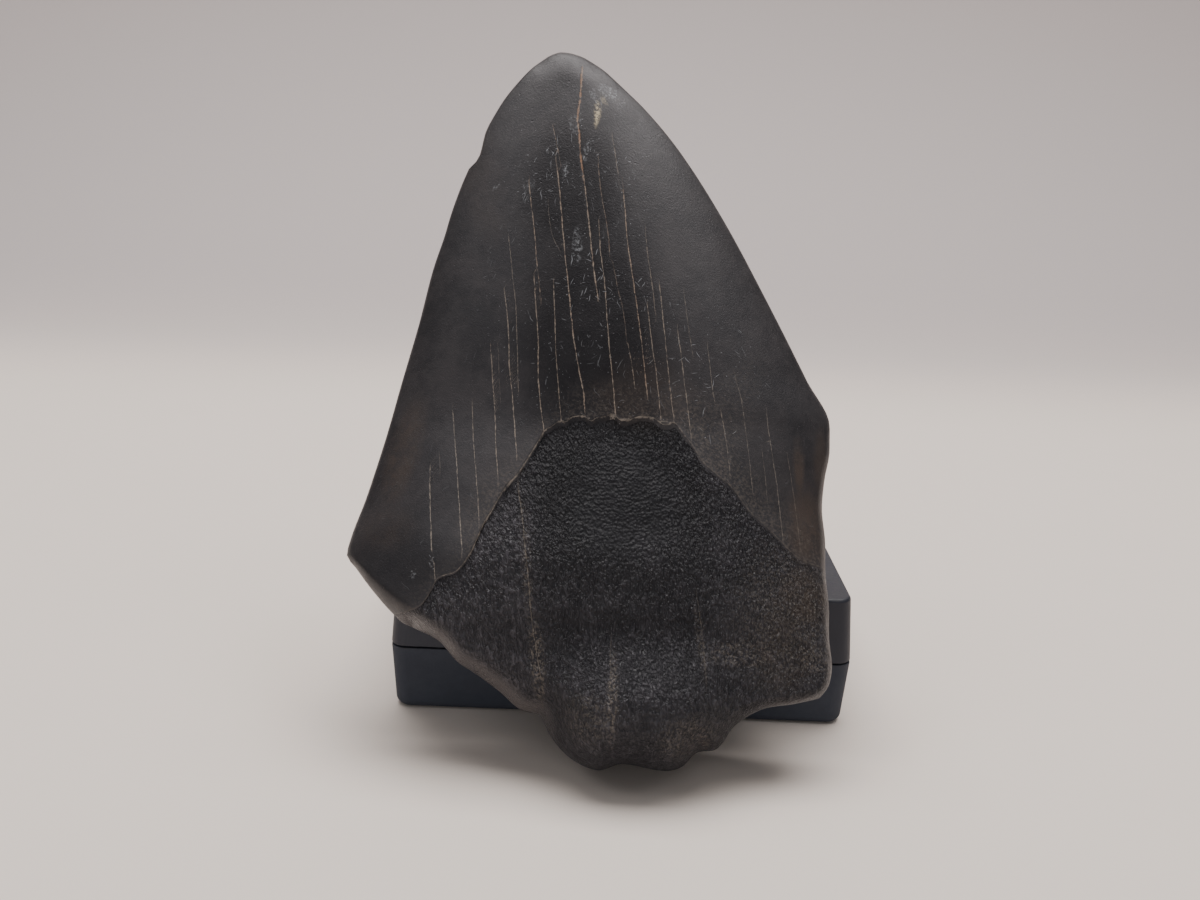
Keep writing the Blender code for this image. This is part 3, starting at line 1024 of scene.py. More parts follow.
FRONT_CRACKS = (
    Crack(((-11.7, 127.5), (-11.8, 120), (-12.1, 116.6), (-11.6, 113), (-11.2, 108.7), (-10.3, 103.6)),
          0.26, 1.0, 1.0, 1.5),
    Crack(((-10.4, 104.3), (-9.4, 97.6), (-8.6, 91.7), (-7.8, 86.3), (-6.8, 80.7)), 0.18, 1.0, 0.35, 1.5),
    Crack(((-7.4, 96), (-6.8, 90.2), (-5.9, 84.6), (-5, 76.1), (-4.4, 71.1), (-3.7, 66), (-3, 60)),
          0.13, 0.95, 0.2),
    Crack(((-16.6, 114.8), (-15.7, 111), (-14.7, 106.5)), 0.11, 0.8, 0.5, 2.0),
    Crack(((-15.8, 108.5), (-15, 103.6), (-14.3, 98.4), (-13.2, 89.6), (-12.1, 82.1), (-11.1, 74.9),
           (-9.9, 68.8), (-8.7, 63.8), (-8.3, 59.5)), 0.15, 1.0, 0.35, 2.5),
    Crack(((-20.4, 103.4), (-19.7, 98.5), (-18.9, 93.8), (-18.3, 88.8), (-17, 80.6)), 0.13, 0.85, 0.4),
    Crack(((-18.5, 85), (-17.9, 79.5), (-17.1, 72.5), (-16.9, 67.8), (-16.3, 62.3), (-15.3, 56.6)),
          0.14, 0.9, 0.25, 2.5),
    Crack(((-8, 109.3), (-7.4, 102.9), (-6.6, 98.7), (-5.4, 92.4), (-5.1, 89.3)), 0.1, 0.6, 0.6, 2.5),
    Crack(((-4.5, 88), (-3.5, 83.3), (-2.4, 79.4), (-1.5, 73.4)), 0.09, 0.45, 0.4, 2.5),
    Crack(((-1.3, 73), (-0.6, 70), (0.2, 65.3)), 0.11, 0.75, 0.2, 2.0),
    Crack(((-5.6, 113.4), (-4.7, 108.5), (-3.8, 102.6)), 0.1, 0.65, 0.2, 2.5),
    Crack(((-3.4, 104.2), (-2.7, 98.4), (-2.2, 93.4), (-1, 86.2), (0.1, 79.7), (0.9, 74.7),
           (1.8, 68.6), (2.5, 63.6)), 0.14, 1.0, 0.5, 2.5),
    Crack(((1.1, 94.8), (1.7, 89.8), (2.6, 84.6), (3.5, 78.2)), 0.1, 0.65, 0.2),
    Crack(((1.8, 81), (2.5, 76.3), (3.2, 71.8), (4, 67.1), (5, 59.5)), 0.12, 0.8, 0.2, 2.0),
    Crack(((3.9, 84.8), (4.7, 78.7), (5.6, 71.6), (6.4, 65.4), (7.2, 60)), 0.12, 0.8, 0.2, 2.5),
    Crack(((7.4, 76.4), (8.3, 70.5), (9, 65.9), (9.7, 61.5), (10.4, 56.3)), 0.12, 0.7, 0.1),
    Crack(((8.4, 83.4), (9.4, 76.6), (10.3, 71.7)), 0.09, 0.4, 0.1),
    Crack(((12.9, 74), (13.5, 69.3), (14.2, 64.3), (14.6, 62.3)), 0.1, 0.5, 0.1, 2.5),
    Crack(((15.3, 62.7), (16.1, 58.9), (16.7, 55.3), (17.3, 50.6)), 0.1, 0.55, 0.1, 2.5),
    Crack(((18, 68.4), (19.2, 64.2), (20.2, 57.4), (21.5, 47.2)), 0.1, 0.38, 0.0),
    Crack(((23.8, 62.4), (24.8, 55.8), (25.9, 48.9), (27, 39.3)), 0.11, 0.45, 0.0),
    Crack(((23.1, 55.2), (24.1, 46.8)), 0.08, 0.35, 0.0),
    Crack(((27.8, 54.8), (28.9, 48.9), (30.2, 38.8)), 0.1, 0.32, 0.2),
    Crack(((-25.7, 72), (-25, 66.5), (-24.2, 60), (-23.5, 53.2), (-22.7, 48)), 0.13, 0.85, 0.15),
    Crack(((-24.4, 72.5), (-23.7, 65.5), (-23.3, 62)), 0.07, 0.35, 0.0),
    Crack(((-23.8, 82.4), (-22.7, 76.1), (-22.2, 69.8), (-21.1, 61.9), (-19.8, 52.2)), 0.13, 0.85, 0.15),
    Crack(((-23.7, 93.4), (-22.8, 87.7), (-21.5, 79.5), (-21, 73.8), (-20.2, 63.6)), 0.1, 0.6, 0.1, 3.0),
    Crack(((-15, 84.2), (-14.4, 77.3), (-13.9, 71), (-13.2, 64.7), (-12.3, 58.2)), 0.12, 0.8, 0.2, 2.5),
    Crack(((-28.4, 61.4), (-27.7, 55), (-26.6, 48.2), (-25.4, 40)), 0.11, 0.65, 0.1),
    Crack(((-31.9, 60.4), (-30.8, 53.5), (-29.6, 45.5), (-28.9, 41.2), (-28, 35.2)), 0.13, 0.75, 0.0),
    Crack(((-35.2, 50.4), (-34.5, 43), (-33.8, 38.5), (-33.3, 34.4)), 0.15, 0.8, 0.0, 2.5),
    Crack(((-32.9, 34.4), (-32.3, 29.8)), 0.13, 0.6, 0.0, 2.0),
    Crack(((-33.8, 53.2), (-33.1, 48.2)), 0.08, 0.3, 0.0, 2.0),
    Crack(((-16.7, 99.8), (-16.2, 95.3), (-15.3, 92.1), (-13.9, 89.7)), 0.06, 0.6, 0.0, 1.5),
)
ROOT_CRACKS = (
    Crack(((-19.3, 47), (-18.3, 42.3), (-17.4, 36.5), (-16.5, 30.9), (-15.6, 24), (-14.7, 19.4),
           (-13.3, 12.6)), 0.17, 0.85, 0.0, 6.0),
    Crack(((-2.4, 22), (-2.3, 16.5), (-2, 12.2), (-1.3, 6)), 0.12, 0.35, 0.0),
    Crack(((11.6, 30), (12.8, 23), (13.6, 15)), 0.12, 0.4, 0.0),
)
BACK_CRACKS = (
    Crack(((-12, 118), (-9.5, 96), (-7, 74), (-5.5, 52)), 0.16, 0.9, 0.6),
    Crack(((-20, 101), (-18.5, 84), (-17, 66), (-15.5, 48)), 0.15, 0.8, 0.3),
    Crack(((-27, 84), (-26, 70), (-25, 52)), 0.12, 0.6, 0.2),
    Crack(((-3, 106), (0, 88), (3, 70), (5, 54)), 0.15, 0.85, 0.4),
    Crack(((6, 96), (9.5, 78), (12, 60)), 0.12, 0.6, 0.2),
    Crack(((16, 78), (19, 64), (21, 49)), 0.13, 0.7, 0.2),
)


class ToothShape:
    """The tooth's outline and faces, as points in millimetres."""

    root_underside: Points = [(-37, 22), (-31.8, 19.7), (-28.8, 16.7), (-25, 14.4), (-21, 11.8),
                              (-17, 8.8), (-14.2, 8.2), (-12, 4.8), (-8.5, 1.3), (-3.5, -0.5),
                              (0.5, 0.7), (7.5, -0.2), (10.5, 0.6), (13, 3), (16, 3.6),
                              (19.5, 7.9), (24, 10.6), (29.5, 11.7), (34, 12.8)]
    root_left: Points = [(-37, 22), (-38.7, 22.7), (-40.3, 24)]
    root_right: Points = [(34, 12.8), (35.6, 15.2), (36.2, 18.7), (35.9, 23), (36.1, 28), (35.7, 35)]
    crown_left: Points = [(-40.3, 24), (-44, 27.5), (-47.6, 31.5), (-50, 34.5), (-49.5, 37.5),
                          (-47.6, 44), (-45.1, 54), (-42.5, 66), (-40, 77), (-37.5, 89.5),
                          (-36.2, 94), (-35.3, 98), (-34.2, 102), (-33, 105.6), (-32.2, 107.6),
                          (-31, 108.7), (-30.3, 110.2), (-30, 112), (-29.5, 114.8), (-28, 118.2),
                          (-26.3, 121.4), (-23.8, 124.9), (-21.4, 127.8), (-19.4, 129.6)]
    crown_right: Points = [(35.7, 35), (35.8, 39.5), (35.2, 46), (35.6, 51), (36.6, 57), (36.6, 61),
                           (32.2, 69.7), (24.4, 84.5), (16, 99.5), (9.9, 109), (5.7, 114.7),
                           (2.8, 118.1), (-0.3, 121.4), (-3.1, 124), (-5.3, 126), (-7.6, 128),
                           (-9.8, 129.5)]
    tip: Points = [(-19.4, 129.6), (-18.2, 130.5), (-17, 131.1), (-15.8, 131.4), (-14.4, 131.3),
                   (-13, 131), (-11.4, 130.4), (-9.8, 129.5)]
    swell_left: Points = [(34.5, -50), (37.5, -49.5), (44, -47.6), (54, -45.1), (66, -42.5), (77, -40),
                          (89.5, -37.5), (102, -34.4), (112, -31.2), (120, -27.5), (126, -23.5),
                          (131, -18.5)]
    enamel_edge: dict[Face, Points] = {
        Face.FRONT: [(-40.3, 24), (-36.5, 25), (-34.4, 26.2), (-33, 28.4), (-32, 30.5), (-28.6, 32.1),
                     (-26.6, 35), (-25, 39), (-23, 43.6), (-19.2, 49.4), (-16.4, 54.2), (-15, 56.8),
                     (-12.8, 58.4), (-11, 59.2), (0, 59.5), (7.1, 59.2), (8.6, 57.8), (10.2, 55.7),
                     (13.2, 51.8), (17.9, 48.1), (20.4, 44.8), (24.6, 41.2), (29.7, 36.8), (35.7, 35)],
        Face.BACK: [(-40.3, 24), (-28, 32), (-14, 40), (0, 43), (14, 41), (26, 37), (35.7, 35)]}
    scallops: Points = [(-26, 0), (-24.6, 0.4), (-23.3, -0.3), (-21, 0.3), (-19.4, -0.2), (-17.2, 0.3),
                        (-15.4, 0.5), (-14.2, -0.1), (-12.9, 0.2), (-11.5, -0.5), (-10.4, 0.3),
                        (-8.6, 0.5), (-7.2, -0.5), (-6.2, 0.1), (-5, 0.3), (-3.4, 0.9), (-2, -0.3),
                        (-1, -0.3), (0.2, 0.2), (1.7, 0.7), (3.4, 0.6), (4.4, 0.1), (5.4, -0.5),
                        (6.4, -0.4), (7.4, 0.2), (9, 0), (10.6, 0.3), (12, -0.2), (14, 0.2), (16, 0)]
    rim_middle: Points = [(-1, -6.5), (8, -6.2), (18, -4.4), (28, -1.5), (38, 0.8), (50, 1.8),
                          (62, 2.5), (131, 2.5)]
    centre_line: dict[Face, Points] = {
        Face.FRONT: [(-1, -12), (10, -12.8), (20, -14), (27, -15.3), (33, -15.2), (42, -13.2),
                     (51, -11), (60, -9), (75, -8.2), (90, -6.6), (106, -4.5), (120, -2),
                     (131, 0.2)],
        Face.BACK: [(-1, 7.1), (6.5, 7.3), (14, 6.7), (22, 6.25), (32, 6.25), (44, 6.8),
                    (62, 7.3), (90, 6.2), (110, 5.2), (131, 4.4)]}
    left_rounding: Points = [(18, 7), (26, 4), (31, 2.2), (36, 0.9), (45, 0.6), (124, 0.6), (131, 1.6)]
    right_rounding: Points = [(18, 7), (30, 5.5), (36, 4), (48, 2.8), (58, 1.5), (64, 0.7),
                              (124, 0.6), (131, 1.6)]
    left_rim: Points = [(18, 4), (26, 3), (31, 2), (36, 0.9), (45, 0.5), (124, 0.6), (131, 1.6)]
    right_rim: Points = [(18, 4), (30, 3.4), (36, 2.6), (48, 2), (58, 1.1), (64, 0.6), (124, 0.6),
                         (131, 1.6)]
    right_front_rounding: Points = [(10, 2.2), (30, 2.0), (48, 1.6), (58, 1.2), (64, 0.7), (124, 0.6),
                                    (131, 1.6)]
    underside_rounding: dict[Face, Points] = {
        Face.FRONT: [(-38, 3.5), (-22, 4.5), (-13, 8), (12, 8), (18, 3.5), (24, 2.4), (35, 2.2)],
        Face.BACK: [(-38, 6.5), (35, 6.5)]}
    tip_rounding: dict[Face, float] = {Face.FRONT: 6.0, Face.BACK: 2.2}
    swell_power = 2.2
    swell_softness = 0.85
    lump_depth = 7.0
    lump_x = 2.5
    lump_half_width = 15.0
    lump_top = 25.0
    lump_full = 10.0
    lump_squareness = 3
    enamel_step = 0.5


@dataclass(frozen=True)
class Relief:
    """How high each part of the tooth's fine relief stands, in millimetres."""

    enamel_waves: float = 0.07
    enamel_streaks: float = 0.003
    lower_streaks: float = 0.009
    enamel_dimples: float = 0.012
    enamel_lip: float = 0.05
    enamel_crack: float = 0.07
    crack_half_width: float = 0.26
    root_waves: float = 0.22
    root_wrinkles: float = 0.028
    root_grain: float = 0.03
    pebble_grain: float = 0.02
    root_pits: float = 0.08
    root_crack: float = 0.16
    rim_fade: float = 1.2


@dataclass
class Layout:
    """One face of the tooth laid out flat, as rows of columns of places, in millimetres.

    It holds where the places are (x, s), the columns' fractions u, 1 on crown rows and 0 on root
    rows, the distances from the left, right, lower and upper rim, and the distance from the
    enamel's edge, positive on the crown.
    """

    face: Face
    x: Array
    s: Array
    u: Array
    crown: Array
    rims: tuple[Array, ...]
    edge_gap: Array

    @property
    def front(self) -> bool:
        """Whether this is the front face."""
        return self.face is Face.FRONT

    @property
    def on_crown(self) -> Array:
        """Whether each place is on the crown."""
        return self.crown > 0.5

    @property
    def edge_row(self) -> int:
        """The number of the first crown row, which runs along the enamel's edge."""
        return int((~self.on_crown[:, 0]).sum())

    @property
    def rim_gap(self) -> Array:
        """The distance of each place from the nearest rim."""
        return np.minimum.reduce(self.rims)

    def gather(self, *patches: Patch) -> Array:
        """The strongest of several marks at each place."""
        return np.clip(np.max([patch.read(self.x, self.s) for patch in patches], axis=0), 0, 1)


@dataclass
class Tooth:
    """The tooth: two sheets bent to its faces, welded along the rim and given their relief.

    Lengths are in millimetres. The front sheet has twice the rows and columns of the back one.
    """

    lean_back: float = 22.0
    foot_y: float = -48.15
    columns: int = 330
    root_rows: int = 150
    crown_rows: int = 70
    lip_rows: tuple[float, ...] = (0.0, 0.004, 0.009, 0.016, 0.026)
    last_root_row: float = 0.985
    least_row_step: float = 0.004
    first_crown_step: float = 0.012
    column_crowding: float = 0.55
    root_row_crowding: float = 0.45
    crown_row_crowding: float = 0.2
    bow_fade: float = 1.3
    tip_bow_fade: float = 6.0
    line_reach: float = 3.0
    grain_lean: float = 0.16
    grain_fan: float = 0.0022
    crown_grain_width: float = 75.0
    crown_grain_depth: float = 0.3
    relief: Relief = Relief()

    def build(self, enamel: bpy.types.Material, root: bpy.types.Material) -> bpy.types.Object:
        """Makes the tooth.

        Args:
            enamel: The crown's material.
            root: The root's material.

        Returns:
            The finished tooth, in place.
        """
        sheets = [self._sheet(face, enamel, root) for face in Face]
        take_up(*sheets)
        bpy.ops.object.join()
        tooth = bpy.context.view_layer.objects.active
        tooth.name = tooth.data.name = "fossil_tooth"
        with Bench(tooth) as bench:
            bench.edges(lambda edge: edge.is_boundary)
            bpy.ops.mesh.remove_doubles(threshold=0.01 * MM)
        self._raise_relief(tooth)
        self._stand_up(tooth)
        tooth.data.shade_smooth()
        return tooth

    def _rows(self) -> tuple[Array, Array]:
        """Spaces the rows.

        Returns:
            The fractions of the root's and of the crown's rows, up from the foot of each.
        """
        even = clustered(self.root_rows, self.root_row_crowding)
        root = even[even < self.last_root_row - self.least_row_step]
        spare = self.root_rows - 1 - len(root)
        filled = np.linspace(root[-1], self.last_root_row, spare + 2)[1:]
        first = self.lip_rows[-1] + self.first_crown_step
        crown = first + (1 - first) * clustered(self.crown_rows, self.crown_row_crowding)
        return np.concatenate([root, filled]), np.concatenate([self.lip_rows, crown])

    def _lay_out(self, face: Face) -> Layout:
        """Lays out one face flat, its rows along the underside, the enamel's edge and the tip.

        Args:
            face: Which face.

        Returns:
            Its places and their distances from the rims and from the enamel's edge.
        """
        shape = ToothShape
        u = clustered(self.columns, self.column_crowding)

        def row(left_side: Points, right_side: Points, f: float, bowed: Array) -> Array:
            """Spans one row of places.

            Args:
                left_side: The curve it starts on.
                right_side: The curve it ends on.
                f: How far up both curves it is.
                bowed: How far each of its places is raised.

            Returns:
                The row's places.
            """
            left, right = along(left_side, f), along(right_side, f)
            straight = left + (right - left) * u[:, None]
            straight[:, 1] += bowed
            return straight

        low, tip = bow(shape.root_underside, u), bow(shape.tip, u)
        enamel_edge = shape.enamel_edge[face]
        edge = bow(enamel_edge, u)
        if face is Face.FRONT:
            edge = edge + smooth_table(shape.scallops, enamel_edge[0][0] * (1 - u) + enamel_edge[-1][0] * u)
        root_rows, crown_rows = self._rows()
        rows = [row(shape.root_left, shape.root_right, f, low * (1 - f) + edge * f) for f in root_rows]
        rows += [row(shape.crown_left, shape.crown_right, f,
                     edge * (1 - f) ** self.bow_fade + tip * f ** self.tip_bow_fade) for f in crown_rows]
        x, s = np.moveaxis(np.array(rows), -1, 0)
        crown = np.zeros(x.shape)
        crown[len(root_rows):] = 1.0
        sides = (shape.root_left + shape.crown_left[1:], shape.root_right + shape.crown_right[1:],
                 shape.root_underside, shape.tip)
        edge_gap = distance_to(enamel_edge, x, s) * np.where(crown > 0.5, 1, -1)
        edge_gap[len(root_rows)] = 0.0
        return Layout(face, x, s, u, crown, tuple(distance_to(side, x, s) for side in sides), edge_gap)

    @staticmethod
    def _depth(lay: Layout) -> Array:
        """Finds how deep a face lies.

        Args:
            lay: The face, laid out.

        Returns:
            The distance t of each place.
        """
        shape, x, s = ToothShape, lay.x, lay.s
        middle = smooth_table(shape.rim_middle, s)
        line = smooth_table(shape.centre_line[lay.face], s)
        left = smooth_table(shape.swell_left, s)
        right = smooth_table([(up, out) for out, up in shape.crown_right], s)
        across = (2 * x - left - right) / (right - left)
        swell = np.clip(1 - np.abs(across) ** shape.swell_power, 0, 1) ** shape.swell_softness
        rim = smooth_table(shape.left_rim, s) * (1 - lay.u) + smooth_table(shape.right_rim, s) * lay.u
        depth = rim + (np.abs(line - middle) - rim) * swell
        step = np.full_like(x, shape.enamel_step)
        if lay.front:
            lump = np.exp(-np.abs((x - shape.lump_x) / shape.lump_half_width) ** shape.lump_squareness)
            rise = soft_step((shape.lump_top - s) / (shape.lump_top - shape.lump_full))
            depth = depth + shape.lump_depth * lump * rise
            step *= (1 - 0.75 * soft_step((x - 6) / 6)) * (1 - 0.6 * soft_step((-25 - x) / 4))
        depth = depth - step * (1 - lay.crown) * swell
        right_rounding = shape.right_front_rounding if lay.front else shape.right_rounding
        radii = (smooth_table(shape.left_rounding, s), smooth_table(right_rounding, s),
                 smooth_table(shape.underside_rounding[lay.face], x), shape.tip_rounding[lay.face])
        for gap, radius in zip(lay.rims, radii):
            depth = depth * round_over(gap, radius)
        depth[[0, -1], :] = 0.0
        depth[:, [0, -1]] = 0.0
        return middle + (-depth if lay.front else depth)

    def _cracks(self, lay: Layout) -> dict[str, Array]:
        """Reads the nearest crack at every place, faded out where two come close together.

        Args:
            lay: The face, laid out.

        Returns:
            The line's signed distance, nearness, half width and rust, by name.
        """
        listed = [(crack, lay.on_crown) for crack in (FRONT_CRACKS if lay.front else BACK_CRACKS)]
        if lay.front:
            listed += [(crack, ~lay.on_crown) for crack in ROOT_CRACKS]
        gaps, strengths = np.zeros((2, len(listed), *lay.x.shape))
        for k, (crack, allowed) in enumerate(listed):
            gaps[k], strength = crack.read(lay.x, lay.s)
            strengths[k] = strength * allowed
        away = np.where(strengths > 0.02, np.abs(gaps), self.line_reach)
        order = np.argsort(away, axis=0)[:2]
        nearest = order[:1]
        first, second = np.take_along_axis(away, order, axis=0)
        apart = np.abs(np.diff(np.take_along_axis(gaps, order, axis=0), axis=0)[0])
        clear = np.maximum(soft_step((second - first - 0.5) / 0.3), soft_step((0.45 - apart) / 0.2))
        clear = clear * (1 - soft_step((first - 0.3) / 0.4))

        def of_nearest(values: Array) -> Array:
            """Takes each place's value from its nearest crack."""
            return np.take_along_axis(values, nearest, axis=0)[0]

        widths = np.array([crack.half_width for crack, _ in listed])
        rusts = np.array([crack.rust for crack, _ in listed])
        return {"line_side": np.clip(of_nearest(gaps), -self.line_reach, self.line_reach),
                "line_near": of_nearest(strengths) * clear,
                "line_width": widths[nearest[0]], "rust": rusts[nearest[0]]}

    @staticmethod
    def _back_marks(lay: Layout) -> dict[str, Array]:
        """Lays out the back's stains, worn spots and dust, and the same painted light and shade as the
        front's.

        Args:
            lay: The face, laid out.

        Returns:
            Each mark's strength from 0 to 1, by name.
        """
        gather, root = lay.gather, 1 - lay.crown
        edge_dust = hump(np.clip(lay.edge_gap, 0, None), 2.5) * lay.on_crown * 0.5
        return {"brown": gather(Patch(-38, 52, 7, 16, 0.7), Patch(28, 50, 7, 14, 0.8),
                                Patch(20, 24, 12, 10, 0.5)),
                "pale": gather(Patch(-14, 121, 0.8, 2.0, 0.7, 15)),
                "scuffs": gather(Patch(-8, 92, 15, 34, 0.5), Patch(-2, 60, 20, 12, 0.4)),
                "dust": np.clip(edge_dust + gather(Patch(4, 22, 14, 10, 0.3)) * root, 0, 1),
                "lip": 0.7 * np.ones_like(lay.x),
                # Bands along the root's rims: smoother wear, and painted lighter as on the front.
                "worn": soft_step(1 - lay.rim_gap / 4.0) * root * 0.6,
                "pebble": gather(Patch(0, 24, 12, 14, 1.0)) * root,
                # Painted light: an even share of the grain's crests lighter as glints.
                "painted_root_light": 0.5 * np.ones_like(lay.x),
                # Painted shade: the same dark band down the crown's middle as on the front.
                "painted_dark_strip": gather(Patch(-4, 76, 11, 26, 0.6))}

    @staticmethod
    def _front_marks(lay: Layout) -> dict[str, Array]:
        """Lays out the front's stains, worn spots and dust, and its painted light and shade.

        Args:
            lay: The face, laid out.

        Returns:
            Each mark's strength from 0 to 1, by name.
        """
        x, s, gather, root = lay.x, lay.s, lay.gather, 1 - lay.crown
        brown = gather(Patch(30, 53, 1.0, 5, 1.0, 3), Patch(31.5, 42.5, 3.8, 6.5, 0.9),
                       Patch(34.5, 54, 1.5, 6, 0.6), Patch(-40.5, 53, 3.0, 9, 0.7, -12),
                       Patch(-42, 39, 5, 3.5, 0.35),
                       Patch(31, 30, 4.5, 4.5, 0.8), Patch(27, 22, 5, 8, 0.4), Patch(2, 64, 9, 6, 0.3),
                       Patch(-29, 104, 4, 12, 0.2, 12))
        pale = gather(Patch(-8.5, 117.4, 0.5, 2.4, 1.0, -4), Patch(-7.4, 120.4, 0.5, 1.0, 0.35, 20))
        scuffs = gather(Patch(-8, 96, 11, 24, 0.5), Patch(-4.5, 74, 15, 16, 0.4),
                        Patch(-17, 105, 7, 11, 0.62), Patch(-9.4, 121.6, 0.9, 2.0, 0.85, 15),
                        Patch(-6.6, 122.4, 2.9, 1.8, 1.0, -35), Patch(-8.4, 119.5, 1.0, 2.2, 0.9),
                        Patch(-4.4, 119.8, 0.8, 1.6, 0.8, -30), Patch(-13.9, 105.4, 0.8, 1.9, 1.0),
                        Patch(-10.1, 109.6, 0.9, 3.0, 0.95, -10), Patch(-11, 91, 1.3, 5, 0.95),
                        Patch(-12.5, 115, 1.8, 3.2, 0.8), Patch(-26.5, 102.6, 1.4, 1.2, 0.9),
                        Patch(-20.5, 102.5, 1.8, 2.2, 0.8), Patch(-18, 78, 10, 20, 0.3),
                        Patch(13, 66, 10, 16, 0.42), Patch(-36.3, 31, 0.7, 1.5, 0.9, 20),
                        Patch(-33.1, 33.4, 0.6, 2.0, 0.95), Patch(-35.7, 37.7, 0.5, 1.2, 0.7))
        crown_dust = gather(Patch(0, 62.5, 14, 3.5, 0.4), Patch(-24, 44, 4, 9, 0.45, -30),
                            Patch(15, 58, 5, 16, 0.4, -25))
        root_dust = gather(Patch(-14.4, 17.5, 1.2, 6.5, 1.0, 8), Patch(-1.8, 12, 0.9, 7, 0.85),
                           Patch(-16.6, 30, 0.7, 8, 0.5, 8), Patch(12.6, 22, 0.7, 6, 0.4, 8),
                           Patch(20, 20, 6, 2.2, 0.6), Patch(32, 19.5, 3, 2.5, 0.6),
                           Patch(11, 6, 5, 3.5, 0.5), Patch(-5.5, 9, 4, 4, 0.45),
                           Patch(-17.2, 36, 0.8, 8, 0.35, 8), Patch(27, 26, 9, 12, 0.35))
        right_side = soft_step((x - 5) / 6)
        dust = hump(np.clip(lay.edge_gap, 0, None), 2.2 + 2.6 * right_side) * (0.45 + 0.4 * right_side)
        dust = dust * lay.on_crown + crown_dust * lay.on_crown
        under = distance_to(ToothShape.root_underside, x, s)
        left_band = soft_step((3.6 - under) / 2.0) * soft_step((-9 - x) / 6)
        right_band = soft_step((1.5 - lay.rim_gap) / 1.0) * soft_step((x - 18) / 8) * 0.8
        bare = 1 - gather(Patch(-2, 50, 15, 17, 0.95))
        return {"brown": brown, "pale": pale * lay.on_crown, "scuffs": scuffs,
                "dust": np.clip(dust + root_dust * root, 0, 1),
                "lip": 0.9 - 0.65 * soft_step((x - 7) / 4) - 0.6 * soft_step((-30 - x) / 2.5),
                # Bands on the root's lower rims: smoother wear, and painted lighter for the floor's light.
                "worn": np.clip(left_band + right_band, 0, 1) * root,
                "pebble": gather(Patch(-1, 45, 10, 11, 1.0), Patch(2, 12, 9, 7, 0.35)) * root,
                # Painted light: the root lighter towards its foot and left side, least in the middle below
                # the enamel.
                "painted_root_light": bare * (0.6 + 0.4 * soft_step((24 - s) / 16) + 0.5 * soft_step((-13 - x) / 6)),
                # Painted shade: a dark band down the crown's middle for its dark reflection.
                "painted_dark_strip": gather(Patch(-7.5, 72, 12.5, 25, 1.0, 5), Patch(-12.4, 101.5, 9, 14, 1.0, 2),
                                Patch(-14, 128, 12, 6, 0.6), Patch(-40, 33, 9, 8, 0.55))}

    def _relief(self, lay: Layout, flow: tuple[Array, Array, Array],
                fields: dict[str, Array]) -> tuple[Array, Array]:
        """Works out the surface's fine relief.

        Args:
            lay: The face, laid out.
            flow: Places along the surface's grain.
            fields: The cracks and marks.

        Returns:
            The relief in millimetres, and how high a place is among the root's wrinkles, 0 to 1.
        """
        high = self.relief
        seed = 7.3 + 31.7 * lay.face.value
        flat = (lay.x, lay.s, np.zeros_like(lay.x))
        groove = fields["line_near"] * hump(fields["line_side"], high.crack_half_width)
        lower = soft_step((72 - lay.s) / 20) * soft_step((16 - np.abs(lay.x + 1)) / 8)
        enamel = high.enamel_waves * grain_noise(flat, (9, 17, 1), seed)
        streaks = high.enamel_streaks + high.lower_streaks * lower
        enamel += streaks * grain_noise(flow, (1.1, 20, 1), seed + 3)
        enamel += high.enamel_dimples * grain_noise(flat, (1.8, 2.6, 1), seed + 7)
        lip = hump(np.abs(lay.edge_gap), 0.35) * (0.7 + 0.6 * grain_noise(flat, (1.6, 1.6, 1), seed + 5))
        enamel += high.enamel_lip * lip
        enamel -= high.enamel_crack * groove * (0.5 + fields["line_width"] * 3)
        stray = [part + 0.8 * grain_noise(flat, (4, 4, 1), seed + 40 + 5 * k)
                 for k, part in enumerate(flow[:2])]
        worm = np.tanh(2.0 * grain_noise((*stray, flow[2]), (0.75, 1.6, 1), seed + 11))
        worm = worm * (1.5 - 1.2 * fields["pebble"])
        fine = grain_noise(flat, (0.55, 0.55, 1), seed + 17)
        pits = soft_step((grain_noise(flat, (1.5, 1.5, 1), seed + 23) - 0.28) / 0.25)
        calm = 1 - 0.8 * fields["worn"]
        bone = high.root_waves * grain_noise(flat, (8, 8, 1), seed + 29)
        grain = (high.root_grain + high.pebble_grain * fields["pebble"]) * fine
        bone += calm * (high.root_wrinkles * worm + grain - high.root_pits * pits)
        bone -= high.root_crack * groove
        crest = np.clip(0.5 + 0.3 * worm + 0.2 * fine - 0.4 * pits, 0, 1)
        return np.where(lay.on_crown, enamel, bone) * soft_step(lay.rim_gap / high.rim_fade), crest

    def _surface(self, lay: Layout, depth: Array) -> tuple[tuple[Array, Array, Array], dict[str, Array]]:
        """Works out all that one face's surface carries.

        Args:
            lay: The face, laid out.
            depth: How deep it lies.

        Returns:
            The places along the surface's grain, and every field by name.
        """
        leaning = lay.x + lay.s * (self.grain_lean - self.grain_fan * lay.x)
        flow = (np.where(lay.on_crown, lay.u * self.crown_grain_width, leaning), lay.s,
                depth * np.where(lay.on_crown, self.crown_grain_depth, 1.0))
        fields = self._cracks(lay)
        fields.update(self._front_marks(lay) if lay.front else self._back_marks(lay))
        fields["edge_gap"] = lay.edge_gap
        fields["relief"], fields["crest"] = self._relief(lay, flow, fields)
        return flow, fields

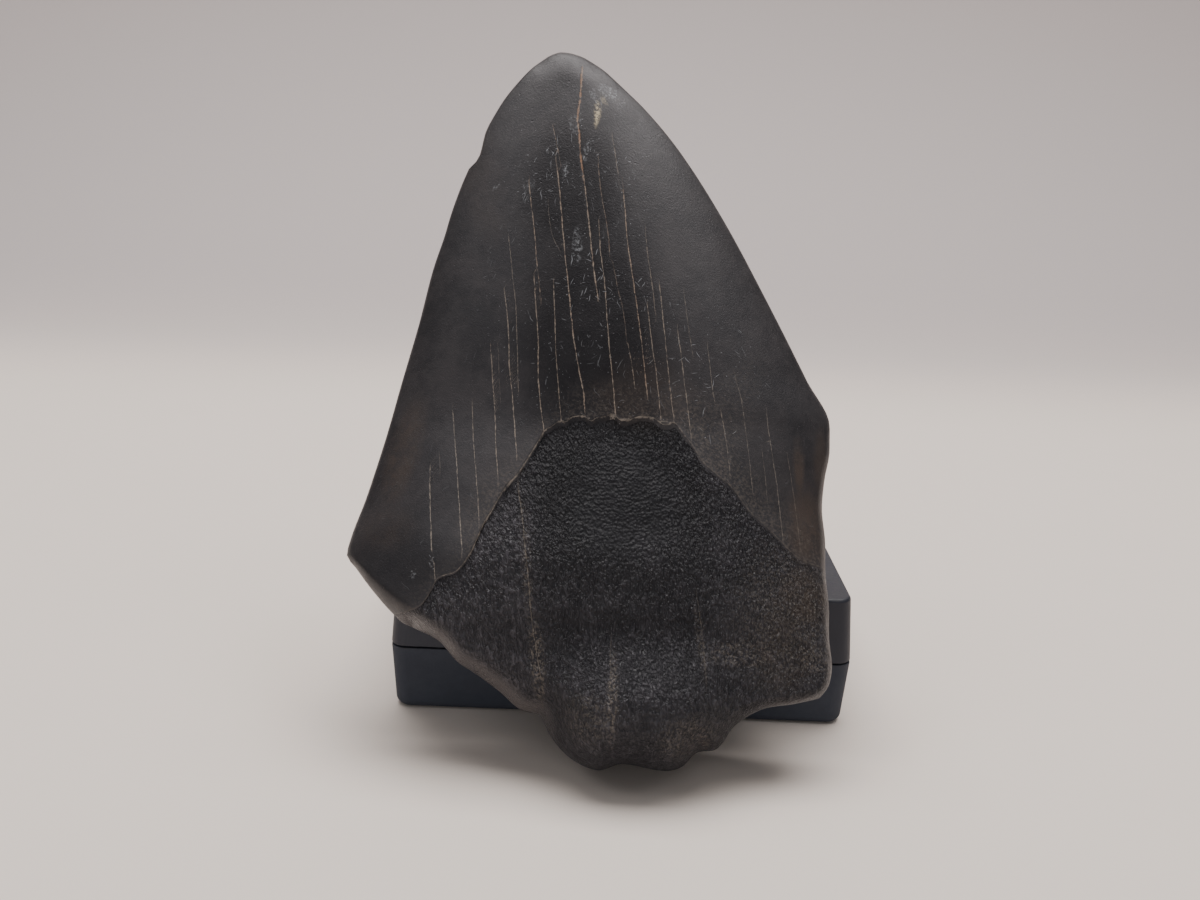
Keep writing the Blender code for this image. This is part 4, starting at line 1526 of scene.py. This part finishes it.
    def _grid(self, name: str, rows: int, thin: int) -> bpy.types.Object:
        """Lays a flat grid of unit size for a sheet.

        Args:
            name: The sheet's name.
            rows: How many rows of faces it has.
            thin: 1 for a whole grid, 2 for one of half the rows whose rim alone is cut to match.

        Returns:
            The grid, without a UV map.
        """
        deselect_all()
        bpy.ops.mesh.primitive_grid_add(x_subdivisions=self.columns // thin, y_subdivisions=rows // thin,
                                        size=1.0)
        sheet = bpy.context.object
        sheet.name = name
        if thin > 1:
            with Bench(sheet) as bench:
                bench.edges(lambda edge: edge.is_boundary)
                bpy.ops.mesh.subdivide(number_cuts=1)
        for layer in list(sheet.data.uv_layers):
            sheet.data.uv_layers.remove(layer)
        return sheet

    def _sheet(self, face: Face, enamel: bpy.types.Material, root: bpy.types.Material) -> bpy.types.Object:
        """Bends a grid to one face of the tooth and writes what its surface carries.

        Args:
            face: Which face.
            enamel: The crown's material.
            root: The root's material.

        Returns:
            The sheet, still upright in the tooth's own frame.
        """
        lay = self._lay_out(face)
        depth = self._depth(lay)
        flow, fields = self._surface(lay, depth)
        rows = len(lay.x) - 1
        sheet = self._grid(f"tooth_{face.name.lower()}", rows, 1 if lay.front else 2)
        mesh = sheet.data
        at = np.empty(len(mesh.vertices) * 3)
        mesh.vertices.foreach_get("co", at)
        at = at.reshape(-1, 3)
        i = np.rint((at[:, 0] + 0.5) * self.columns).astype(int)
        j = np.rint((at[:, 1] + 0.5) * rows).astype(int)
        bent = np.stack([part[j, i] for part in (lay.x, depth, lay.s)], axis=-1) * MM
        mesh.vertices.foreach_set("co", bent.ravel())
        for name, field in fields.items():
            mesh.attributes.new(name, "FLOAT", "POINT").data.foreach_set("value", field[j, i])
        grain = np.stack([part[j, i] for part in flow], axis=-1)
        mesh.attributes.new("flow", "FLOAT_VECTOR", "POINT").data.foreach_set("vector", grain.ravel())
        mesh.materials.append(enamel)
        mesh.materials.append(root)
        tops = [max(j[corner] for corner in polygon.vertices) for polygon in mesh.polygons]
        mesh.polygons.foreach_set("material_index", [0 if top >= lay.edge_row else 1 for top in tops])
        if not lay.front:
            with Bench(sheet) as bench:
                bench.faces(lambda _: True)
                bpy.ops.mesh.flip_normals()
        return sheet

    @staticmethod
    def _raise_relief(tooth: bpy.types.Object) -> None:
        """Moves each point of the welded tooth along its normal by its relief.

        Args:
            tooth: The tooth, which loses its relief attribute.
        """
        mesh = tooth.data
        places, normals = np.empty(len(mesh.vertices) * 3), np.empty(len(mesh.vertices) * 3)
        mesh.vertices.foreach_get("co", places)
        mesh.vertex_normals.foreach_get("vector", normals)
        relief = np.empty(len(mesh.vertices))
        mesh.attributes["relief"].data.foreach_get("value", relief)
        moved = places.reshape(-1, 3) + normals.reshape(-1, 3) * relief[:, None] * MM
        mesh.vertices.foreach_set("co", moved.ravel())
        mesh.attributes.remove(mesh.attributes["relief"])
        mesh.update()

    def _stand_up(self, tooth: bpy.types.Object) -> None:
        """Leans the tooth back about its foot and stands its lowest point on the ground.

        Args:
            tooth: The tooth, upright in its own frame.
        """
        turn = Matrix.Rotation(math.radians(-self.lean_back), 4, "X")
        tooth.data.transform(turn)
        lowest = min(vert.co.z for vert in tooth.data.vertices)
        tooth.data.transform(Matrix.Translation((0.0, self.foot_y * MM, -lowest)))
        tooth.data.update()


# ------------------------------------------------------------------ the box

@dataclass
class DisplayBox:
    """The closed box behind the tooth: a tray with a raised lip, and a lid that drops over it.

    Lengths are in millimetres, outside sizes where the two halves meet.
    """

    width: float = 86.0
    depth: float = 64.6
    height: float = 25.2
    seam_height: float = 12.55
    seam_gap: float = 0.3
    draft: float = 0.8
    corner_radius: float = 3.0
    base_edge_radius: float = 1.5
    lid_edge_radius: float = 0.7
    seam_edge_radius: float = 0.18
    wall: float = 2.0
    lip_height: float = 2.0
    lip_inset: float = 1.15
    rebate_inset: float = 0.85
    corner_steps: int = 12
    edge_steps: int = 6
    seam_edge_steps: int = 2
    sharp_from: float = 32.0

    def _block(self, name: str, low: float, high: float) -> bpy.types.Object:
        """Starts a half as a plain block.

        Args:
            name: Its name.
            low: The height of its underside.
            high: The height of its top.

        Returns:
            The block.
        """
        deselect_all()
        bpy.ops.mesh.primitive_cube_add(size=1.0, location=(0.0, 0.0, (low + high) / 2 * MM))
        block = bpy.context.object
        block.name = block.data.name = name
        block.scale = (self.width * MM, self.depth * MM, (high - low) * MM)
        bpy.ops.object.transform_apply(location=True, rotation=True, scale=True)
        return block

    def _shape_outside(self, bench: Bench, seam: float, end: float, end_radius: float) -> None:
        """Gives a half its draft, its rounded corners and its rounded edges.

        Args:
            bench: The half, in edit mode.
            seam: The height of its open end.
            end: The height of its closed end.
            end_radius: The rounding of its closed end.
        """
        bench.flat_face_at(end * MM, up=end > seam)
        bench.stretch(1 - 2 * self.draft / self.width, 1 - 2 * self.draft / self.depth)
        bench.edges(lambda edge: abs(edge.verts[0].co.z - edge.verts[1].co.z) > MM)
        bench.bevel(self.corner_radius * MM, self.corner_steps)
        bench.ring_at(end * MM)
        bench.bevel(end_radius * MM, self.edge_steps)
        bench.ring_at(seam * MM)
        bench.bevel(self.seam_edge_radius * MM, self.seam_edge_steps)

    def _hollow(self, bench: Bench, start: float, floor: float) -> None:
        """Sinks the inside of a half from its selected rim, narrowing by the draft.

        Args:
            bench: The half, in edit mode.
            start: The rim's height.
            floor: The inner floor's height.
        """
        bench.extrude((floor - start) * MM)
        bench.stretch(1 - 2 * self.draft / (self.width - 2 * self.wall),
                      1 - 2 * self.draft / (self.depth - 2 * self.wall))

    def _half(self, name: str, plastic: bpy.types.Material, heights: tuple[float, float, float, float],
              end_radius: float, step_inset: float) -> bpy.types.Object:
        """Makes one half: a stepped rim at its open end and a hollow behind it.

        Args:
            name: Its name.
            plastic: Its material.
            heights: Where its open end, the step in its rim, its inner floor and its closed end are.
            end_radius: The rounding of its closed end.
            step_inset: How far in from the outside the rim's step lies.

        Returns:
            The finished half.
        """
        seam, step, floor, end = heights
        half = self._block(name, min(seam, end), max(seam, end))
        with Bench(half) as bench:
            self._shape_outside(bench, seam, end, end_radius)
            bench.flat_face_at(seam * MM, up=end < seam)
            bench.inset((step_inset - self.seam_edge_radius) * MM)
            bench.extrude((step - seam) * MM)
            bench.flat_face_at(step * MM, up=end < seam)
            bench.inset((self.wall - step_inset) * MM)
            self._hollow(bench, step, floor)
        half.data.materials.append(plastic)
        finish_shading(half, self.sharp_from)
        return half

    def build_base(self, plastic: bpy.types.Material) -> bpy.types.Object:
        """Makes the lower half, a tray with a raised lip."""
        heights = (self.seam_height, self.seam_height + self.lip_height, self.wall, 0.0)
        return self._half("box_base_shell", plastic, heights, self.base_edge_radius, self.lip_inset)

    def build_lid(self, plastic: bpy.types.Material) -> bpy.types.Object:
        """Makes the upper half, a lid with a rebate for the lip.

        Args:
            plastic: Its material.

        Returns:
            The finished lid.
        """
        low = self.seam_height + self.seam_gap
        heights = (low, self.seam_height + self.lip_height + self.seam_gap, self.height - self.wall,
                   self.height)
        return self._half("box_lid_shell", plastic, heights, self.lid_edge_radius, self.rebate_inset)


# ------------------------------------------------------------------ the studio

@dataclass(frozen=True)
class SoftLight:
    """One soft studio light, aimed at the tooth's middle."""

    name: str
    place: tuple[float, float, float]
    size: tuple[float, float]
    watts: float
    colour: Colour = (1.0, 1.0, 1.0)
    aim: tuple[float, float, float] = (0.0, -0.02, 0.05)

    def hang(self) -> None:
        """Hangs the light."""
        lamp = bpy.data.lights.new(self.name, "AREA")
        lamp.shape = "RECTANGLE"
        lamp.size, lamp.size_y = self.size
        lamp.energy = self.watts
        lamp.color = self.colour
        light = bpy.data.objects.new(self.name, lamp)
        bpy.context.scene.collection.objects.link(light)
        light.location = self.place
        light.rotation_euler = (Vector(self.aim) - Vector(self.place)).to_track_quat("-Z", "Y").to_euler()


@dataclass
class Studio:
    """A paper sweep, soft lights and the camera."""

    floor_front: float = -1.6
    floor_back: float = 0.34
    bend_radius: float = 0.22
    wall_top: float = 1.5
    half_width: float = 2.4
    bend_steps: int = 14
    camera_place: tuple[float, float, float] = (-0.00545, -0.2374, 0.107)
    camera_pitch: float = 15.0
    camera_roll: float = 2.33
    lens: float = 36.0
    ambient: Colour = (0.80, 0.79, 0.80)
    ambient_strength: float = 0.215
    lights: tuple[SoftLight, ...] = (
        SoftLight("overhead", (0.02, 0.14, 0.95), (1.0, 0.6), 15.8, (1.0, 0.97, 0.945)),
        SoftLight("right_high", (0.60, -0.30, 0.78), (0.35, 0.35), 0.65),
        SoftLight("left_high", (-0.60, -0.26, 0.70), (0.35, 0.35), 0.8),
        SoftLight("front_fill", (-0.25, -1.15, 0.12), (1.4, 0.4), 3.8, (0.96, 0.97, 1.0)),
    )

    def lay_paper(self, paper: bpy.types.Material) -> None:
        """Lays the sweep: a floor that bends up into a wall.

        Args:
            paper: Its material.
        """
        deselect_all()
        bpy.ops.mesh.primitive_plane_add(size=1.0)
        sweep = bpy.context.object
        sweep.name = sweep.data.name = "paper_sweep"
        sweep.scale = (2 * self.half_width, self.floor_back - self.floor_front, 1.0)
        sweep.location = (0.0, (self.floor_back + self.floor_front) / 2, 0.0)
        bpy.ops.object.transform_apply(location=True, rotation=True, scale=True)
        turns = np.linspace(0, math.pi / 2, self.bend_steps + 1)
        profile = [(self.floor_back + self.bend_radius * math.sin(turn),
                    self.bend_radius * (1 - math.cos(turn))) for turn in turns]
        profile.append((profile[-1][0], self.wall_top))
        with Bench(sweep) as bench:
            bench.edges(lambda edge: all(vert.co.y > self.floor_back - MM for vert in edge.verts))
            for (y0, z0), (y1, z1) in zip(profile, profile[1:]):
                bpy.ops.mesh.extrude_edges_move(TRANSFORM_OT_translate={"value": (0.0, y1 - y0, z1 - z0)})
        sweep.data.shade_smooth()
        sweep.data.materials.append(paper)

    def light_up(self) -> None:
        """Hangs the lights and sets the room's own dim light."""
        for light in self.lights:
            light.hang()
        world = bpy.data.worlds.new("dim_room")
        world.use_nodes = True
        back = world.node_tree.nodes["Background"]
        back.inputs["Color"].default_value = (*self.ambient, 1.0)
        back.inputs["Strength"].default_value = self.ambient_strength
        bpy.context.scene.world = world

    def set_camera(self) -> None:
        """Sets the camera, level across but for its small roll and looking down at the tooth."""
        lens = bpy.data.cameras.new("camera")
        lens.lens = self.lens
        lens.sensor_width = 36.0
        lens.sensor_fit = "HORIZONTAL"
        lens.clip_start = 0.01
        camera = bpy.data.objects.new("camera", lens)
        bpy.context.scene.collection.objects.link(camera)
        tilt = Matrix.Rotation(math.radians(90 - self.camera_pitch), 4, "X")
        roll = Matrix.Rotation(math.radians(self.camera_roll), 4, "Z")
        camera.matrix_world = Matrix.Translation(self.camera_place) @ tilt @ roll
        bpy.context.scene.camera = camera


# ------------------------------------------------------------------ making it all


def main() -> None:
    """Builds the tooth, the box and the studio, in that order."""
    logging.basicConfig(level=logging.INFO, format="%(message)s")
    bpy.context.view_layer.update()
    effects = Effects()

    tooth = Tooth().build(EnamelFinish().build(effects), RootFinish().build(effects))
    settle(tooth, "tooth")

    box = DisplayBox()
    # The base's copy of the plastic is painted several times lighter than the lid's, standing in for the
    # light its front lacks in the tooth's shadow.
    base_plastic = PlasticFinish("black_plastic_base", dark=(0.0400, 0.0445, 0.0575),
                                 light=(0.0470, 0.0520, 0.0660), roughness=0.62, shine=0.14,
                                 rubbed_and_highlit_height=12.5)
    base = box.build_base(base_plastic.build(effects))
    settle(base, "box_base")
    lid = box.build_lid(PlasticFinish("black_plastic_lid").build(effects))
    settle(lid, "box_lid")

    studio = Studio()
    studio.lay_paper(SweepFinish().build(effects))
    studio.light_up()
    studio.set_camera()


if __name__ == "__main__":
    main()
